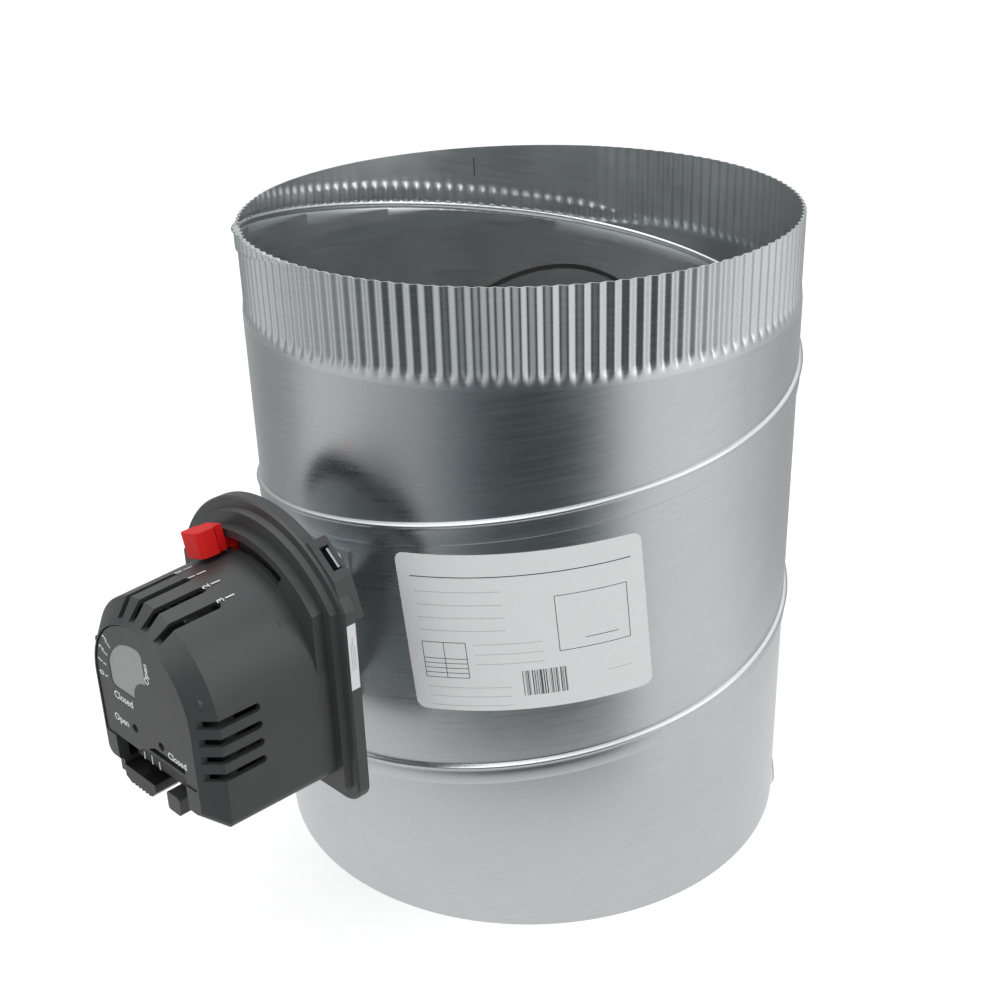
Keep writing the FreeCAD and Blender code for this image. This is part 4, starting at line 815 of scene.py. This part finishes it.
class DAMPER_OT_fasteners(bpy.types.Operator):
    """Adds the screws and rivets of the bracket, the blade, the base and the terminals"""

    bl_idname = "damper.fasteners"
    bl_label = "Fasteners"

    def execute(self, context):
        steel = turned_steel("plated_fasteners", (0.50, 0.51, 0.52), 0.28)
        for name, shape, body in (
                ("bracket_screws", screws(BRACKET_SCREWS, WEB_BACK, BACK, 2.6, 1.8, 1.1), STATIC),
                ("housing_screws", screws(HOUSING_SCREWS, BASE_BACK, BACK, 2.6, 1.8, 1.1), STATIC),
                ("terminal_screws", screws(TERMINAL_SCREWS, TERMINAL_SEAT, FRONT, 2.5, 2.3, 1.05), STATIC),
                ("bracket_rivets", bracket_rivets(), STATIC), ("blade_rivets", rim_rivets(), "blade"),
                ("shaft_rivets", shaft_rivets(), "blade")):
            mesh_piece(name, *shape, body, "zinc_steel", steel)
        return {"FINISHED"}


class DAMPER_OT_prints(bpy.types.Operator):
    """Prints the dial digits and the plain words on the actuator"""

    bl_idname = "damper.prints"
    bl_label = "Prints"

    def execute(self, context):
        white = ink("white_ink", tuple(context.scene.damper.print_colour))
        mesh_piece("face_print", *face_print(), STATIC, "label_paper", white)
        mesh_piece("top_print", *top_print(), STATIC, "label_paper", white)
        return {"FINISHED"}


def dress(names, material):
    """Gives solid parts a material in place of their own."""
    for name in names:
        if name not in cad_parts:
            raise RuntimeError(f"no node named {name}")
        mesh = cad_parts[name].data
        mesh.materials.clear()
        mesh.materials.append(material)


class DAMPER_OT_finishes(bpy.types.Operator):
    """Gives each solid part its finish"""

    bl_idname = "damper.finishes"
    bl_label = "Finishes"

    def execute(self, context):
        look = context.scene.damper
        metal, plastic, paper = tuple(look.metal), tuple(look.plastic), tuple(look.paper)
        # Painted shade: the blade's plates are the sheet made 0.72 times as pale, standing in for the shade
        # they lie in deep inside the duct
        dress(["blade_front_plate", "blade_rear_plate"], galvanised("blade_sheet", shade(metal, 0.72), 0.34))
        dress(["mounting_bracket"], galvanised("bracket_sheet", shade(metal, 0.95), 0.3))
        dress(["shaft_retaining_ring", "gear_plate"], turned_steel("zinc_steel", (0.50, 0.51, 0.52), 0.3))
        dress(["damper_shaft", "gear_axles"], turned_steel("turned_steel", (0.42, 0.43, 0.44), 0.25))
        dress(["drive_motor"], turned_steel("motor_can", (0.30, 0.30, 0.31), 0.32))
        dress(["blade_gasket"], moulded("gasket_rubber", (0.012, 0.011, 0.010), 0.7))
        dress(["near_bushing", "far_bushing"], moulded("bushing_nylon", (0.018, 0.019, 0.02), 0.45))
        dress(["actuator_housing", "actuator_base"], moulded("housing_plastic", plastic, 0.38))
        dress(["face_plate"], moulded("face_plastic", shade(plastic, 1.08), 0.42, 2200.0, 0.12))
        dress(["terminal_block"], moulded("black_plastic", (0.007, 0.007, 0.008), 0.36))
        dress(["cable_latch"], moulded("latch_plastic", (0.009, 0.009, 0.010), 0.32))
        dress(["range_stop_lever", "position_indicator"],
              moulded("red_plastic", tuple(look.knob), 0.5, gloss=0.3))
        dress(["drive_hub_gear", "second_gear", "first_gear", "motor_pinion"],
              moulded("dark_nylon", (0.030, 0.030, 0.031), 0.42))
        dress(["circuit_board"], moulded("board_lacquer", (0.004, 0.016, 0.009), 0.35))
        dress(["open_light"], lens("green_lens", (0.010, 0.040, 0.016)))
        dress(["closed_light"], lens("amber_lens", (0.050, 0.022, 0.008)))
        dress(["indicator_window"], frosted("frosted_window", tuple(look.window)))
        dark = (0.022, 0.025, 0.03)
        dress(["duct_label"], label_paper("duct_label_paper", paper, dark))
        dress(["side_label"], label_paper("side_label_paper", paper, dark, True))
        return {"FINISHED"}


def camera_matrix(stage):
    """The camera looks at the duct's middle from its elevation and azimuth, then turned by pan, tilt and
    roll."""
    elevation, pan, tilt, roll = stage.elevation, stage.pan, stage.tilt, stage.roll
    target = Vector((0, 0, DUCT_TOP * MM / 2))
    place = target + Vector((0, -math.cos(elevation), math.sin(elevation))) * stage.distance
    ahead = Vector((0, math.cos(elevation), -math.sin(elevation)))
    side = Vector((1, 0, 0))
    up = side.cross(ahead)
    level = ahead * math.cos(pan) + side * math.sin(pan)
    ahead = level * math.cos(tilt) + up * math.sin(tilt)
    ahead.normalize()
    right = ahead.cross(up).normalized()
    above = right.cross(ahead)
    turned = right * math.cos(roll) + above * math.sin(roll)
    upright = above * math.cos(roll) - right * math.sin(roll)
    axes = Matrix((turned, upright, -ahead)).transposed().to_4x4()
    return Matrix.Rotation(stage.azimuth, 4, "Z") @ Matrix.Translation(place) @ axes


def lamp(name, place, target, size, power):
    """A soft area lamp that faces a point."""
    data = bpy.data.lights.new(name, "AREA")
    data.shape = "RECTANGLE"
    data.size, data.size_y = size
    data.energy = power
    thing = bpy.data.objects.new(name, data)
    bpy.context.scene.collection.objects.link(thing)
    way = Vector(target) - Vector(place)
    turn = way.to_track_quat("-Z", "Y").to_matrix().to_4x4()
    thing.matrix_world = Matrix.Translation(Vector(place)) @ turn
    return thing


# How bright the room is to gloss, against the direction round the duct, in degrees from the photograph's
# side
ROOM = [(-180, 0.55), (-140, 0.50), (-120, 0.38), (-100, 0.42), (-82, 0.74), (-70, 0.68), (-52, 0.52),
        (-38, 0.42), (-24, 0.22), (-8, 0.09), (10, 0.08), (22, 0.20), (34, 0.56), (48, 0.90), (66, 0.92),
        (90, 0.76), (115, 0.56), (135, 0.50), (180, 0.55)]
TABLE = 0.86
CEILING = 1.35
# Where the table fades out, in metres from the duct's axis, and where the ceiling fades in, by a
# direction's rise
TABLE_EDGE, CEILING_EDGE = (0.195, 0.32), (0.30, 0.62)
# The floor that the camera sees: grey paint that takes the shadow, and the glow that brings it up to white
SHADOW_PAINT, FLOOR_GLOW = (0.5, 0.5, 0.5), 0.64
DIM_TINT = (0.80, 0.94, 1.0)
WHITE = (1.0, 1.0, 1.0)
# Each lamp's place about the duct's foot, which turns with the camera, its size, and its share of the power
LAMPS = (("key", (-0.9, -0.8, 1.5), (1.3, 1.3), 1.0), ("fill", (1.3, -0.6, 1.0), (0.9, 1.4), 0.5),
         ("top", (0.0, 0.3, 1.8), (1.4, 1.4), 0.6))
LAMPS_FACE = (0, 0, 0.15)
FLOOR_REACH = 4


def room_strength(nodes, x, y, azimuth):
    """The room's brightness for a direction round the duct."""
    turn = nodes.math("DIVIDE", nodes.math("ARCTAN2", y, x), 2 * math.pi)
    share = nodes.math("FRACT", nodes.math("ADD", turn, 1.75 - azimuth / (2 * math.pi)))
    return nodes.curve(share, [((degrees + 180) / 360, strength) for degrees, strength in ROOM])


def emitter(nodes, strength, colour=WHITE, kind="ShaderNodeEmission"):
    node = nodes.add(kind)
    nodes.put(colour, node.inputs["Color"])
    nodes.put(strength, node.inputs["Strength"])
    return node.outputs[0]


def mixed(nodes, factor, first, second):
    node = nodes.add("ShaderNodeMixShader")
    for socket, value in zip(node.inputs, (factor, first, second)):
        nodes.put(value, socket)
    return node.outputs[0]


def path_masks(nodes):
    """1 for rays that see the background straight or through glass, and 1 for gloss."""
    path = nodes.add("ShaderNodeLightPath").outputs
    return nodes.math("MAXIMUM", path["Is Camera Ray"], path["Is Transmission Ray"]), path["Is Glossy Ray"]


def room_colour(nodes, strength):
    """Cool where the room is dim, and white where it is bright."""
    return nodes.blend(nodes.ramp(strength, 0.0, 1.0, 0.0, 0.6), DIM_TINT, WHITE)


def studio_world(stage):
    """White to the camera. To gloss, a pale ceiling over a room whose walls are dark on the near side, and
    to all else a plain light."""
    world = bpy.data.worlds.new("studio")
    bpy.context.scene.world = world
    world.use_nodes = True
    world.node_tree.nodes.clear()
    nodes = Nodes(world.node_tree)
    place = nodes.add("ShaderNodeTexCoord")
    x, y, z = nodes.parts(place.outputs["Generated"])
    walls = room_strength(nodes, x, y, stage.azimuth)
    overhead = nodes.ramp(z, 0.0, 1.0, *CEILING_EDGE)
    strength = nodes.math("ADD", nodes.math("MULTIPLY", walls, nodes.math("SUBTRACT", 1.0, overhead)),
                          nodes.math("MULTIPLY", overhead, CEILING))
    background = "ShaderNodeBackground"
    gloss = emitter(nodes, strength, room_colour(nodes, strength), background)
    straight, shiny = path_masks(nodes)
    rest = mixed(nodes, shiny, emitter(nodes, stage.room, kind=background), gloss)
    output = nodes.add("ShaderNodeOutputWorld")
    nodes.join(mixed(nodes, straight, rest, emitter(nodes, 1.0, kind=background)), output.inputs[0])


def floor_material(stage):
    """White to the camera, where it keeps the object's soft shadow. To gloss, a pale table that ends in the
    room, and to all else plain pale paint."""
    material = bpy.data.materials.new("floor")
    material.use_nodes = True
    material.node_tree.nodes.clear()
    nodes = Nodes(material.node_tree)
    x, y, _ = nodes.parts(nodes.coordinates())
    radius = nodes.math("SQRT", nodes.math("ADD", nodes.math("POWER", x, 2.0), nodes.math("POWER", y, 2.0)))
    edge = nodes.ramp(radius, 0.0, 1.0, *TABLE_EDGE)
    walls = room_strength(nodes, x, y, stage.azimuth)
    strength = nodes.math("ADD", nodes.math("MULTIPLY", edge, walls),
                          nodes.math("MULTIPLY", nodes.math("SUBTRACT", 1.0, edge), TABLE))
    gloss = emitter(nodes, strength, room_colour(nodes, strength))
    diffuse = "ShaderNodeBsdfDiffuse"
    paint, shadowed, both = (nodes.add(kind) for kind in (diffuse, diffuse, "ShaderNodeAddShader"))
    nodes.put(tuple(stage.floor), paint.inputs["Color"])
    nodes.put(SHADOW_PAINT, shadowed.inputs["Color"])
    nodes.join(shadowed.outputs[0], both.inputs[0])
    nodes.join(emitter(nodes, FLOOR_GLOW), both.inputs[1])
    straight, shiny = path_masks(nodes)
    output = nodes.add("ShaderNodeOutputMaterial")
    rest = mixed(nodes, shiny, paint.outputs[0], gloss)
    nodes.join(mixed(nodes, straight, rest, both.outputs[0]), output.inputs[0])
    return material


class DAMPER_OT_stage(bpy.types.Operator):
    """Sets the floor, the world, the lamps and the camera"""

    bl_idname = "damper.stage"
    bl_label = "Studio"

    def execute(self, context):
        stage, scene = context.scene.damper_stage, context.scene
        scene.view_settings.view_transform = "Standard"
        line = np.arange(-FLOOR_REACH, FLOOR_REACH + 1.0)
        x, y = np.meshgrid(line, line)
        points = np.stack([x, y, 0 * x], axis=-1).reshape(-1, 3)
        mesh = bpy.data.meshes.new("floor")
        mesh.from_pydata(points.tolist(), [], grid_quads(len(line), len(line)).tolist())
        mesh.materials.append(floor_material(stage))
        floor = bpy.data.objects.new("floor", mesh)
        scene.collection.objects.link(floor)
        studio_world(stage)
        turn = Matrix.Rotation(stage.azimuth, 3, "Z")
        for name, place, size, share in LAMPS:
            lamp(name, turn @ Vector(place), LAMPS_FACE, size, stage.key_power * share)
        data = bpy.data.cameras.new("camera")
        data.lens = stage.lens
        data.sensor_width = 36.0
        camera = bpy.data.objects.new("camera", data)
        scene.collection.objects.link(camera)
        camera.matrix_world = camera_matrix(stage)
        scene.camera = camera
        return {"FINISHED"}


class DAMPER_PT_panel(bpy.types.Panel):
    """Lists the pieces and their settings"""

    bl_idname = "DAMPER_PT_panel"
    bl_label = "Volume control damper"
    bl_space_type = "VIEW_3D"
    bl_region_type = "UI"
    bl_category = "Damper"

    def draw(self, context):
        for step in STEPS:
            self.layout.operator(f"damper.{step}")
        for group in (context.scene.damper, context.scene.damper_stage):
            for name in group.__annotations__:
                self.layout.prop(group, name)


STEPS = ("duct", "fasteners", "prints", "finishes", "stage")
CLASSES = (DamperSettings, StageSettings, DAMPER_OT_duct, DAMPER_OT_fasteners, DAMPER_OT_prints,
           DAMPER_OT_finishes, DAMPER_OT_stage, DAMPER_PT_panel)


def register():
    for item in CLASSES:
        bpy.utils.register_class(item)
    bpy.types.Scene.damper = PointerProperty(type=DamperSettings)
    bpy.types.Scene.damper_stage = PointerProperty(type=StageSettings)


def unregister():
    del bpy.types.Scene.damper
    del bpy.types.Scene.damper_stage
    for item in reversed(CLASSES):
        bpy.utils.unregister_class(item)


def main():
    register()
    for step in STEPS:
        getattr(bpy.ops.damper, step)()


if __name__ == "__main__":
    main()
